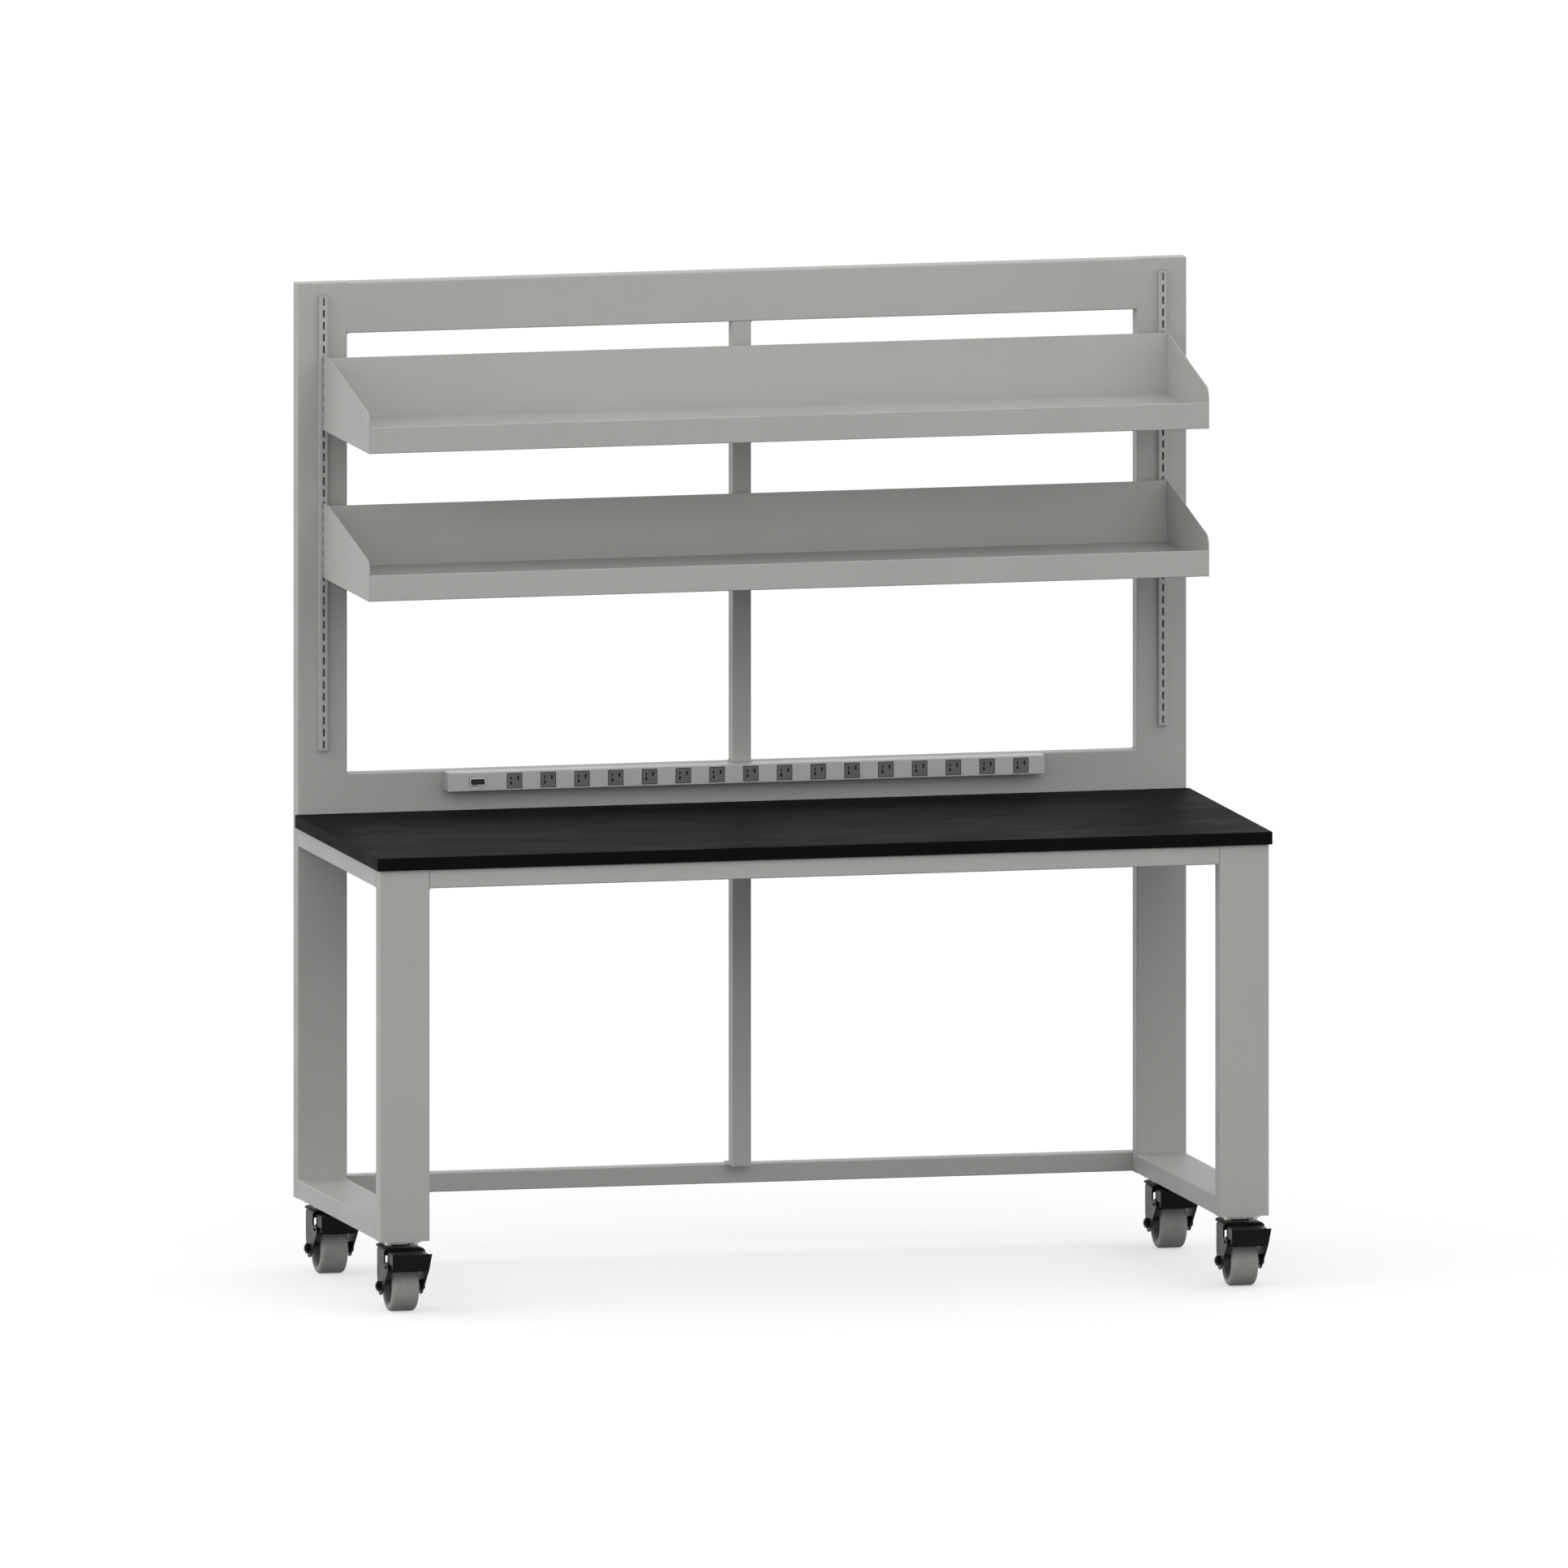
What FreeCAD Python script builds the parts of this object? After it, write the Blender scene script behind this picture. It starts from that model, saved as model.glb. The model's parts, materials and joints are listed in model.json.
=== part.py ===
import FreeCAD, Part
import math
import os
import Sketcher

# Mobile laboratory bench: a welded steel tube frame on four braked casters, a black worktop, two
# reagent shelves that hook into slotted standards, and a power strip along the back.
# X runs along the bench, Y to its back and Z up. The origin is on the floor, at the middle of the
# space that the bench takes up.

document = FreeCAD.newDocument("LabBench")
sheet = document.addObject("Spreadsheet::Sheet", "Size")

SIZES = {
    # welded frame
    "frame_length": 1817.6,
    "frame_depth": 744.2,
    "frame_top": 1976.5,
    "caster_height": 142.9,
    "tube_wide": 101.6,
    "tube_narrow": 38.1,
    "tube_wall": 2.0,
    "tube_corner": 3.0,
    "plug_thickness": 3.0,
    "plug_clearance": 0.15,
    "foot_plate": 3.0,
    "back_rail_inset": 13.8,
    # worktop
    "worktop_bottom": 887.5,
    "worktop_side_overhang": 6.2,
    "worktop_thickness": 25.4,
    "worktop_overhang": 7.0,
    "worktop_rear_gap": 0.3,
    "worktop_corner": 4.0,
    "worktop_edge": 1.5,
    "mid_rail_bottom": 890.4,
    "worktop_screw_pitch": 280.0,
    # slotted standards
    "standard_width": 17.5,
    "standard_depth": 12.0,
    "standard_sheet": 1.5,
    "standard_bend": 2.0,
    "standard_bottom": 1041.0,
    "standard_screw_count": 4,
    "standard_screw_first": 1.5,
    "standard_screw_step": 10.0,
    "slot_count": 38,
    "slot_pitch": 24.0,
    "slot_first": 12.0,
    "slot_height": 15.0,
    "slot_width": 4.0,
    # hook-on shelves
    "lower_shelf_slot": 15,
    "upper_shelf_slot": 27,
    "lower_hook_rise": 25.2,
    "upper_hook_rise": 17.0,
    "shelf_gap": 0.3,
    "shelf_depth": 390.0,
    "shelf_height": 149.5,
    "shelf_front_height": 79.6,
    "shelf_flat": 42.0,
    "shelf_front_round": 24.0,
    "shelf_panel": 2.0,
    "shelf_sheet": 1.5,
    "shelf_floor": 27.3,
    "shelf_lip": 52.4,
    "shelf_return": 14.0,
    "shelf_back_gap": 38.0,
    "shelf_back_drop": 0.5,
    "shelf_bend": 2.2,
    "hook_spread": 4,
    "hook_seat": 1.0,
    "hook_height": 9.0,
    "hook_length": 9.5,
    "hook_angle": 20.0,
    # power strip
    "strip_length": 1219.2,
    "strip_section": 38.1,
    "strip_wall": 1.5,
    "strip_corner": 1.5,
    "strip_cap": 2.0,
    "outlet_pitch": 69.03,
    "outlet_start": 100.0,
    "outlet_end": 48.55,
    "outlet_width": 29.1,
    "outlet_height": 28.5,
    "outlet_depth": 20.0,
    "outlet_proud": 0.6,
    "outlet_clearance": 0.2,
    "blade_slot_x": 7.4,
    "blade_slot_z": 5.0,
    "blade_slot_width": 3.5,
    "blade_slot_height": 8.3,
    "earth_hole_x": -6.9,
    "earth_hole_z": -4.5,
    "earth_hole_width": 3.9,
    "earth_hole_height": 6.6,
    "small_slot_width": 2.6,
    "small_slot_height": 6.0,
    "socket_depth": 12.0,
    "switch_end": 59.9,
    "bezel_width": 32.8,
    "bezel_height": 16.1,
    "bezel_proud": 1.6,
    "bezel_depth": 14.0,
    "bezel_rim": 2.4,
    "bezel_wall": 1.0,
    "bezel_clearance": 0.2,
    "rocker_width": 24.8,
    "rocker_clearance": 0.35,
    "rocker_dip": 1.6,
    "rocker_proud": 5.0,
    "rocker_heel": 3.0,
    "rocker_tilt": 9.0,
    # casters
    "caster_inset": 67.6,
    "wheel_radius": 50.8,
    "wheel_width": 55.0,
    "wheel_edge": 8.5,
    "hub_radius": 38.0,
    "hub_rim": 4.0,
    "hub_rim_width": 50.0,
    "hub_web": 12.0,
    "hub_boss": 11.0,
    "hub_draft": 3.0,
    "hub_side_gap": 0.4,
    "trail": 30.0,
    "axle_radius": 5.0,
    "running_gap": 0.08,
    "bolt_head_height": 5.3,
    "axle_nut_size": 17.0,
    "axle_nut_height": 6.3,
    "axle_end": 2.0,
    "plate_length": 105.0,
    "plate_width": 78.0,
    "plate_thickness": 4.4,
    "plate_corner": 8.0,
    "plate_bolt_x": 54.0,
    "plate_bolt_y": 76.0,
    "plate_bolt_size": 13.0,
    "upper_race_radius": 29.0,
    "upper_race_height": 4.0,
    "ball_ring_radius": 22.0,
    "ball_ring_height": 3.4,
    "race_radius": 26.0,
    "race_height": 0.8,
    "race_gap": 0.3,
    "race_round": 0.5,
    "kingpin_radius": 6.0,
    "kingpin_head_radius": 10.0,
    "kingpin_head_height": 7.0,
    "fork_half_width": 42.5,
    "fork_sheet": 3.2,
    "fork_shoulder": 9.0,
    "fork_rear": 6.0,
    "fork_front": 64.0,
    "fork_apron": 14.0,
    "fork_bend": 2.5,
    "fork_notch_round": 3.0,
    "fork_foot_radius": 18.0,
    "fork_toe": 7.0,
    "fork_ear_front": 97.0,
    "fork_ear_top": 100.0,
    "fork_ear_bottom": 88.0,
    "fork_ear_round": 5.0,
    "pedal_pivot_y": 48.0,
    "pedal_pivot_z": 94.0,
    "pedal_pin_radius": 3.0,
    "pedal_pin_end": 2.0,
    "pedal_ear": 9.0,
    "pedal_half_width": 37.5,
    "pedal_sheet": 2.5,
    "pedal_top": 125.0,
    "pedal_reach": 101.5,
    "pedal_rear": 44.0,
    "pedal_lip_bottom": 92.5,
    "pedal_lip_flare": 3.0,
    "pedal_lip_tilt": 12.0,
    "brake_blade_angle": 57.0,
    "brake_blade_below": 12.4,
    "brake_blade_sheet": 3.0,
    # small fasteners
    "screw_radius": 2.5,
    "screw_head_radius": 5.0,
    "screw_head_height": 2.6,
    "screw_clearance": 0.2,
    "screw_bite": 14.0,
    "flat_screw_radius": 1.75,
    "flat_screw_head": 3.4,
    "flat_screw_rim": 1.0,
    "plate_bolt_radius": 4.0,
    "plate_bolt_end": 9.0,
    "access_hole": 7.0,
    # how far a cutting shape reaches past the face that it cuts
    "overcut": 1.0,
}

for row, (name, value) in enumerate(SIZES.items(), start=1):
    sheet.set(f"A{row}", name)
    sheet.set(f"B{row}", str(value))
    sheet.setAlias(f"B{row}", name)
document.recompute()

# Places that several pieces share, as formulas over the sheet.
POST_X = "((Size.frame_length - Size.tube_wide) / 2)"
BACK_Y = "(Size.frame_depth - Size.tube_narrow) / 2"
INNER_LENGTH = "(Size.frame_length - 2 * Size.tube_wide)"
INNER_DEPTH = "(Size.frame_depth - 2 * Size.tube_narrow)"
POST_FRONT_Y = "(Size.frame_depth / 2 - Size.tube_narrow)"
STANDARD_FACE_Y = f"({POST_FRONT_Y} - Size.standard_depth)"
CASTER_X = POST_X
CASTER_Y = "(Size.frame_depth / 2 - Size.caster_inset)"
PEDAL_FRONT = f"({CASTER_Y} + Size.trail + Size.pedal_reach)"
BACK_REACH = "(Size.frame_depth / 2 + Size.tube_narrow)"
ORIGIN_SHIFT = f"({PEDAL_FRONT} - {BACK_REACH}) / 2"
MID_RAIL_TOP = "(Size.mid_rail_bottom + Size.tube_wide)"
STRIP_Z = f"({MID_RAIL_TOP} - Size.strip_section / 2)"
STRIP_FRONT_Y = f"({POST_FRONT_Y} - Size.strip_section)"
SHELF_HALF = f"({POST_X} - Size.shelf_panel / 2)"
STANDARD_LENGTH = "(2 * Size.slot_first + (Size.slot_count - 1) * Size.slot_pitch)"
SIDES = {"left": -1, "right": 1}
ENDS = {"front": -1, "rear": 1}

nodes = []


def number(formula):
    """The present value of a formula over the sheet."""
    return float(sheet.evalExpression(formula))


def point(x, y, z):
    return FreeCAD.Vector(number(x), number(y) + number(ORIGIN_SHIFT), number(z))


def place(item, x, y, z):
    """Puts an object at a point of the bench, given as formulas from the middle of the frame."""
    item.setExpression("Placement.Base.x", x)
    item.setExpression("Placement.Base.y", f"{y} + {ORIGIN_SHIFT}")
    item.setExpression("Placement.Base.z", z)


def keep(item, label):
    item.Label = label
    nodes.append(item)
    return item


def new_body(label):
    return keep(document.addObject("PartDesign::Body", label), label)


def new_sketch(body, role, offset="0"):
    """A sketch on one of the body's own origin planes, moved along its normal."""
    sketch = body.newObject("Sketcher::SketchObject", f"{body.Name}_sketch")
    for plane in body.Origin.OriginFeatures:
        if plane.Role == role:
            sketch.AttachmentSupport = (plane, [""])
    sketch.MapMode = "FlatFace"
    sketch.setExpression("AttachmentOffset.Base.z", offset)
    return sketch


def pin_point(sketch, geometry, end, x, y):
    """Ties a point of the sketch to a place given by two formulas."""
    for kind, formula in (("DistanceX", x), ("DistanceY", y)):
        value = number(formula)
        index = sketch.addConstraint(Sketcher.Constraint(kind, -1, 1, geometry, end, value))
        sketch.setExpression(f"Constraints[{index}]", formula)


def draw_outline(sketch, corners):
    """A closed outline of straight lines through corners given as pairs of formulas."""
    places = [FreeCAD.Vector(number(x), number(y), 0) for x, y in corners]
    first = sketch.GeometryCount
    count = len(corners)
    for i in range(count):
        sketch.addGeometry(Part.LineSegment(places[i], places[(i + 1) % count]), False)
    for i in range(count):
        following = first + (i + 1) % count
        sketch.addConstraint(Sketcher.Constraint("Coincident", first + i, 2, following, 1))
        pin_point(sketch, first + i, 1, *corners[i])


def draw_rectangle(sketch, left, bottom, right, top):
    draw_outline(sketch, [(left, bottom), (right, bottom), (right, top), (left, top)])


def draw_circle(sketch, x, y, radius):
    centre = FreeCAD.Vector(number(x), number(y), 0)
    circle = Part.Circle(centre, FreeCAD.Vector(0, 0, 1), number(radius))
    index = sketch.addGeometry(circle, False)
    pin_point(sketch, index, 3, x, y)
    size = sketch.addConstraint(Sketcher.Constraint("Radius", index, number(radius)))
    sketch.setExpression(f"Constraints[{size}]", radius)


def pad(body, sketch, length, middle=False):
    feature = body.newObject("PartDesign::Pad", f"{body.Name}_pad")
    feature.Profile = sketch
    feature.setExpression("Length", length)
    feature.Midplane = middle
    document.recompute()
    return feature


def pocket(body, sketch, length, middle=False, reverse=False):
    """Cuts a sketch out of the body, and stops if nothing was cut."""
    before = body.Shape.Volume
    feature = body.newObject("PartDesign::Pocket", f"{body.Name}_pocket")
    feature.Profile = sketch
    feature.setExpression("Length", length)
    feature.Midplane = middle
    feature.Reversed = reverse
    document.recompute()
    if body.Shape.Volume > before - 0.1:
        raise RuntimeError(f"{body.Label}: a pocket removed nothing")
    return feature


def round_edges(body, radius, direction, places):
    """Rounds the straight edges that run along a direction through places in the other two axes."""
    others = [axis for axis in "xyz" if axis != direction]
    wanted = [(number(u), number(v)) for u, v in places]
    names = []
    for index, edge in enumerate(body.Shape.Edges, start=1):
        start = edge.Vertexes[0].Point
        end = edge.Vertexes[-1].Point
        if edge.Curve.TypeId != "Part::GeomLine":
            continue
        if any(abs(getattr(start, axis) - getattr(end, axis)) > 1e-4 for axis in others):
            continue
        for u, v in wanted:
            if abs(getattr(start, others[0]) - u) < 1e-3 and abs(getattr(start, others[1]) - v) < 1e-3:
                names.append(f"Edge{index}")
    if len(names) < len(wanted):
        raise RuntimeError(f"{body.Label}: an edge to round is missing")
    return round_named(body, radius, names)


def round_rims(body, radius, rim_radius, level=None):
    """Rounds the circular edges of one radius, or only those at one height."""
    names = []
    for index, edge in enumerate(body.Shape.Edges, start=1):
        if edge.Curve.TypeId != "Part::GeomCircle" or abs(edge.Curve.Radius - number(rim_radius)) > 1e-3:
            continue
        if level is None or abs(edge.Curve.Center.z - number(level)) < 1e-3:
            names.append(f"Edge{index}")
    return round_named(body, radius, names)


def round_named(body, radius, names):
    solid = body.Tip
    feature = body.newObject("PartDesign::Fillet", f"{body.Name}_fillet")
    feature.Base = (solid, names)
    feature.setExpression("Radius", radius)
    document.recompute()
    return feature


def drill(body, role, offset, centres, radius, depth, reverse=False):
    """Round holes from a plane into the body."""
    sketch = new_sketch(body, role, offset)
    for x, y in centres:
        draw_circle(sketch, x, y, radius)
    pocket(body, sketch, depth, reverse=reverse)


PLANES = {"x": "YZ_Plane", "y": "XZ_Plane", "z": "XY_Plane"}
SQUARE = "Size.tube_narrow"
WIDE = "Size.tube_wide"


def tube(label, direction, width, height, length, x, y, z):
    """A rounded rectangular tube that runs along one axis, centred on a point. Width and height
    are its sizes along the other two axes, in the order X, Y, Z."""
    body = new_body(label)
    half_width = f"{width} / 2"
    half_height = f"{height} / 2"
    outside = new_sketch(body, PLANES[direction])
    draw_rectangle(outside, f"-{half_width}", f"-{half_height}", half_width, half_height)
    pad(body, outside, length, middle=True)
    corners = [(f"{u}{half_width}", f"{v}{half_height}") for u in ("", "-") for v in ("", "-")]
    round_edges(body, "Size.tube_corner", direction, corners)
    inside = new_sketch(body, PLANES[direction])
    inner_width = f"({half_width} - Size.tube_wall)"
    inner_height = f"({half_height} - Size.tube_wall)"
    draw_rectangle(inside, f"-{inner_width}", f"-{inner_height}", inner_width, inner_height)
    pocket(body, inside, f"{length} + Size.tube_wall", middle=True)
    place(body, x, y, z)
    return body


def compound(label, shapes):
    """Identical small pieces as one group of solids."""
    group = document.addObject("Part::Feature", label)
    group.Shape = Part.makeCompound(shapes)
    return keep(group, label)


def moved(shape, where):
    copy = shape.copy()
    copy.translate(where)
    return copy


def fastener(head_radius, head_height, shank_radius, shank_length, sides=0):
    """A screw along +Z with the underside of its head at the origin."""
    if sides:
        step = 360 / sides
        ring = [FreeCAD.Vector(head_radius, 0, -head_height)]
        for i in range(1, sides):
            ring.append(FreeCAD.Rotation(step * i, 0, 0).multVec(ring[0]))
        head = Part.Face(Part.makePolygon(ring + [ring[0]])).extrude(FreeCAD.Vector(0, 0, head_height))
    else:
        head = Part.makeCylinder(head_radius, head_height, FreeCAD.Vector(0, 0, -head_height))
    shank = Part.makeCylinder(shank_radius, shank_length)
    return head.fuse(shank).removeSplitter()


# ---------------------------------------------------------------- frame
PLATE_HOLE = "Size.plate_bolt_radius + Size.screw_clearance"
POST_LENGTH = "(Size.frame_top - Size.caster_height)"
LEG_LENGTH = "(Size.worktop_bottom - Size.caster_height)"
RAIL_HALF = "Size.tube_narrow / 2"


def build_uprights():
    """Two full-height rear posts and two front legs. The posts carry the slotted standards."""
    for side, sign in SIDES.items():
        post = tube(f"{side}_rear_post", "z", WIDE, SQUARE, POST_LENGTH,
                    f"{sign} * {POST_X}", BACK_Y, f"(Size.caster_height + {POST_LENGTH} / 2)")
        holes = []
        for where in standard_screw_heights():
            local_z = f"({where}) - Size.caster_height - {POST_LENGTH} / 2"
            holes.append(("0", local_z))
        drill(post, "XZ_Plane", RAIL_HALF, holes,
              "Size.flat_screw_radius + Size.screw_clearance", "Size.tube_wall + Size.overcut")
        tube(f"{side}_front_leg", "z", WIDE, SQUARE, LEG_LENGTH,
             f"{sign} * {POST_X}", f"-{BACK_Y}", f"(Size.caster_height + {LEG_LENGTH} / 2)")


def standard_screw_heights():
    """Heights of the standard's screws, each halfway between two slots."""
    heights = []
    for i in range(int(number("Size.standard_screw_count"))):
        pitches = f"(Size.standard_screw_first + {i} * Size.standard_screw_step)"
        heights.append(f"Size.standard_bottom + Size.slot_first + {pitches} * Size.slot_pitch")
    return heights


def build_side_rails():
    """The side rails lie flat between leg and post, at the floor and under the worktop."""
    for side, sign in SIDES.items():
        lower = tube(f"{side}_lower_side_rail", "y", WIDE, SQUARE, INNER_DEPTH,
                     f"{sign} * {POST_X}", "0", f"Size.caster_height + {RAIL_HALF}")
        centres = []
        for end in ENDS.values():
            for across in (-1, 1):
                x = f"{across} * Size.plate_bolt_x / 2"
                centres.append((x, f"{end} * ({CASTER_Y} - Size.plate_bolt_y / 2)"))
        drill(lower, "XY_Plane", f"-{RAIL_HALF}", centres, PLATE_HOLE,
              "Size.tube_wall + Size.overcut", reverse=True)
        upper = tube(f"{side}_upper_side_rail", "y", WIDE, SQUARE, INNER_DEPTH,
                     f"{sign} * {POST_X}", "0", f"Size.worktop_bottom - {RAIL_HALF}")
        along = [("0", f"{i} * Size.worktop_screw_pitch") for i in (-1, 0, 1)]
        drill(upper, "XY_Plane", RAIL_HALF, along,
              "Size.screw_radius + Size.screw_clearance", "Size.tube_wall + Size.overcut")
        drill(upper, "XY_Plane", f"-{RAIL_HALF}", along, "Size.access_hole",
              "Size.tube_wall + Size.overcut", reverse=True)


def build_long_rails():
    """Rails between the uprights, the centre post and the bottom rail behind the posts."""
    tube("front_apron_rail", "x", SQUARE, SQUARE, INNER_LENGTH,
         "0", f"-{BACK_Y}", f"Size.worktop_bottom - {RAIL_HALF}")
    tube("rear_worktop_rail", "x", SQUARE, SQUARE, INNER_LENGTH,
         "0", f"{BACK_Y} - Size.tube_narrow", f"Size.worktop_bottom - {RAIL_HALF}")
    tube("mid_rail", "x", SQUARE, WIDE, INNER_LENGTH,
         "0", BACK_Y, "Size.mid_rail_bottom + Size.tube_wide / 2")
    tube("top_rail", "x", SQUARE, WIDE, INNER_LENGTH,
         "0", BACK_Y, "Size.frame_top - Size.tube_wide / 2")
    upper_length = f"(Size.frame_top - Size.tube_wide - {MID_RAIL_TOP})"
    tube("upper_centre_post", "z", SQUARE, SQUARE, upper_length,
         "0", BACK_Y, f"{MID_RAIL_TOP} + {upper_length} / 2")
    foot_top = "(Size.caster_height + Size.tube_narrow + Size.foot_plate)"
    lower_length = f"(Size.mid_rail_bottom - {foot_top})"
    tube("lower_centre_post", "z", SQUARE, SQUARE, lower_length,
         "0", BACK_Y, f"{foot_top} + {lower_length} / 2")
    bottom_length = "(Size.frame_length - 2 * Size.back_rail_inset)"
    bottom = tube("rear_bottom_rail", "x", SQUARE, SQUARE, bottom_length,
                  "0", f"{BACK_Y} + Size.tube_narrow", f"Size.caster_height + {RAIL_HALF}")
    drill(bottom, "XY_Plane", RAIL_HALF, [("0", "0")],
          "Size.screw_radius + Size.screw_clearance", "Size.tube_wall + Size.overcut")


def build_centre_post_foot():
    """The plate under the centre post that laps over the bottom rail behind it."""
    body = new_body("centre_post_foot")
    sketch = new_sketch(body, "XY_Plane")
    draw_rectangle(sketch, f"-{RAIL_HALF}", f"-{RAIL_HALF}", RAIL_HALF,
                   "1.5 * Size.tube_narrow - Size.tube_corner")
    pad(body, sketch, "Size.foot_plate")
    drill(body, "XY_Plane", "0", [("0", "Size.tube_narrow")],
          "Size.screw_radius + Size.screw_clearance", "Size.foot_plate + Size.overcut", reverse=True)
    place(body, "0", BACK_Y, "Size.caster_height + Size.tube_narrow")


def build_plugs():
    """Plates welded into the open tube ends, flush with the ends."""
    width = number("Size.tube_wide - 2 * Size.tube_wall - 2 * Size.plug_clearance")
    depth = number("Size.tube_narrow - 2 * Size.tube_wall - 2 * Size.plug_clearance")
    thickness = number("Size.plug_thickness")
    plate = Part.makeBox(width, depth, thickness, FreeCAD.Vector(-width / 2, -depth / 2, 0))
    tops = []
    bottoms = []
    hole = number(PLATE_HOLE)
    for side in SIDES.values():
        top = point(f"{side} * {POST_X}", BACK_Y, "Size.frame_top - Size.plug_thickness")
        tops.append(moved(plate, top))
        for end in ENDS.values():
            where = point(f"{side} * {POST_X}", f"{end} * {BACK_Y}", "Size.caster_height")
            plug = moved(plate, where)
            for across in (-1, 1):
                x = f"{side} * {CASTER_X} + {across} * Size.plate_bolt_x / 2"
                y = f"{end} * ({CASTER_Y} + Size.plate_bolt_y / 2)"
                start = point(x, y, "Size.caster_height - Size.plug_thickness")
                plug = plug.cut(Part.makeCylinder(hole, 3 * thickness, start))
            bottoms.append(plug)
    compound("post_top_caps", tops)
    compound("leg_end_plates", bottoms)
    cap = Part.makeBox(thickness, depth, depth, FreeCAD.Vector(0, -depth / 2, -depth / 2))
    ends = []
    for side in SIDES.values():
        inward = "0" if side < 0 else "-Size.plug_thickness"
        x = f"{side} * (Size.frame_length / 2 - Size.back_rail_inset) + {inward}"
        where = point(x, f"{BACK_Y} + Size.tube_narrow", f"Size.caster_height + {RAIL_HALF}")
        ends.append(moved(cap, where))
    compound("bottom_rail_end_caps", ends)


# ---------------------------------------------------------------- worktop
WORKTOP_FRONT = "(-Size.frame_depth / 2 - Size.worktop_overhang)"
WORKTOP_BACK = f"({POST_FRONT_Y} - Size.worktop_rear_gap)"


def build_worktop():
    """One slab that stops at the posts, with blind holes for the screws from the side rails."""
    body = new_body("worktop")
    sketch = new_sketch(body, "XY_Plane")
    half = "(Size.frame_length / 2 + Size.worktop_side_overhang)"
    draw_rectangle(sketch, f"-{half}", WORKTOP_FRONT, half, WORKTOP_BACK)
    pad(body, sketch, "Size.worktop_thickness")
    corners = [(f"{sign}{half}", y) for sign in ("", "-") for y in (WORKTOP_FRONT, WORKTOP_BACK)]
    round_edges(body, "Size.worktop_corner", "z", corners)
    round_edges(body, "Size.worktop_edge", "x", [(WORKTOP_FRONT, "Size.worktop_thickness")])
    centres = []
    for side in SIDES.values():
        for i in (-1, 0, 1):
            centres.append((f"{side} * {POST_X}", f"{i} * Size.worktop_screw_pitch"))
    drill(body, "XY_Plane", "0", centres, "Size.screw_radius + Size.screw_clearance",
          "Size.screw_bite", reverse=True)
    place(body, "0", "0", "Size.worktop_bottom")


def build_screws():
    """Worktop screws inside the side rails and the screw of the centre post's foot."""
    screw = fastener(number("Size.screw_head_radius"), number("Size.screw_head_height"),
                     number("Size.screw_radius"), number("Size.screw_bite"))
    shapes = []
    for side in SIDES.values():
        for i in (-1, 0, 1):
            where = point(f"{side} * {POST_X}", f"{i} * Size.worktop_screw_pitch",
                          "Size.worktop_bottom - Size.tube_wall")
            shapes.append(moved(screw, where))
    compound("worktop_screws", shapes)
    screw.rotate(FreeCAD.Vector(0, 0, 0), FreeCAD.Vector(1, 0, 0), 180)
    top = "Size.caster_height + Size.tube_narrow + Size.foot_plate"
    compound("foot_screw", [moved(screw, point("0", f"{BACK_Y} + Size.tube_narrow", top))])


# ---------------------------------------------------------------- slotted standards
def build_standards():
    """C-shaped channels with a row of slots, screwed to the fronts of the rear posts."""
    half = "Size.standard_width / 2"
    inner = f"({half} - Size.standard_sheet)"
    for side, sign in SIDES.items():
        body = new_body(f"{side}_shelf_standard")
        section = new_sketch(body, "XY_Plane")
        draw_outline(section, [
            (f"-{half}", "0"), (half, "0"), (half, "Size.standard_depth"), (inner, "Size.standard_depth"),
            (inner, "Size.standard_sheet"), (f"-{inner}", "Size.standard_sheet"),
            (f"-{inner}", "Size.standard_depth"), (f"-{half}", "Size.standard_depth")])
        pad(body, section, STANDARD_LENGTH)
        round_edges(body, "Size.standard_bend", "z", [(half, "0"), (f"-{half}", "0")])
        slot = new_sketch(body, "XZ_Plane", "0")
        draw_rectangle(slot, "-Size.slot_width / 2", "Size.slot_first - Size.slot_height / 2",
                       "Size.slot_width / 2", "Size.slot_first + Size.slot_height / 2")
        cut = pocket(body, slot, "Size.standard_sheet + Size.overcut")
        row = body.newObject("PartDesign::LinearPattern", f"{body.Name}_slots")
        row.Originals = [cut]
        row.Direction = (slot, ["V_Axis"])
        row.Mode = "Spacing"
        row.setExpression("Offset", "Size.slot_pitch")
        row.setExpression("Occurrences", "Size.slot_count")
        body.Tip = row
        document.recompute()
        holes = [("0", f"{where} - Size.standard_bottom") for where in standard_screw_heights()]
        drill(body, "XZ_Plane", "0", holes, "Size.flat_screw_head + Size.screw_clearance",
              "Size.standard_sheet + Size.overcut")
        place(body, f"{sign} * {POST_X}", STANDARD_FACE_Y, "Size.standard_bottom")


def build_standard_screws():
    """Countersunk screws, flush with the face of each standard."""
    head = number("Size.flat_screw_head")
    shank = number("Size.flat_screw_radius")
    sink = number("Size.standard_depth")
    bite = sink + number("Size.screw_bite") / 2
    rim = number("Size.flat_screw_rim")
    outline = [(0, 0), (head, 0), (head, rim), (shank, head - shank + rim), (shank, bite), (0, bite)]
    wire = Part.makePolygon([FreeCAD.Vector(r, y, 0) for r, y in outline + outline[:1]])
    screw = Part.Face(wire).revolve(FreeCAD.Vector(0, 0, 0), FreeCAD.Vector(0, 1, 0), 360)
    shapes = []
    for side in SIDES.values():
        for where in standard_screw_heights():
            shapes.append(moved(screw, point(f"{side} * {POST_X}", STANDARD_FACE_Y, where)))
    compound("standard_screws", shapes)


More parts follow.
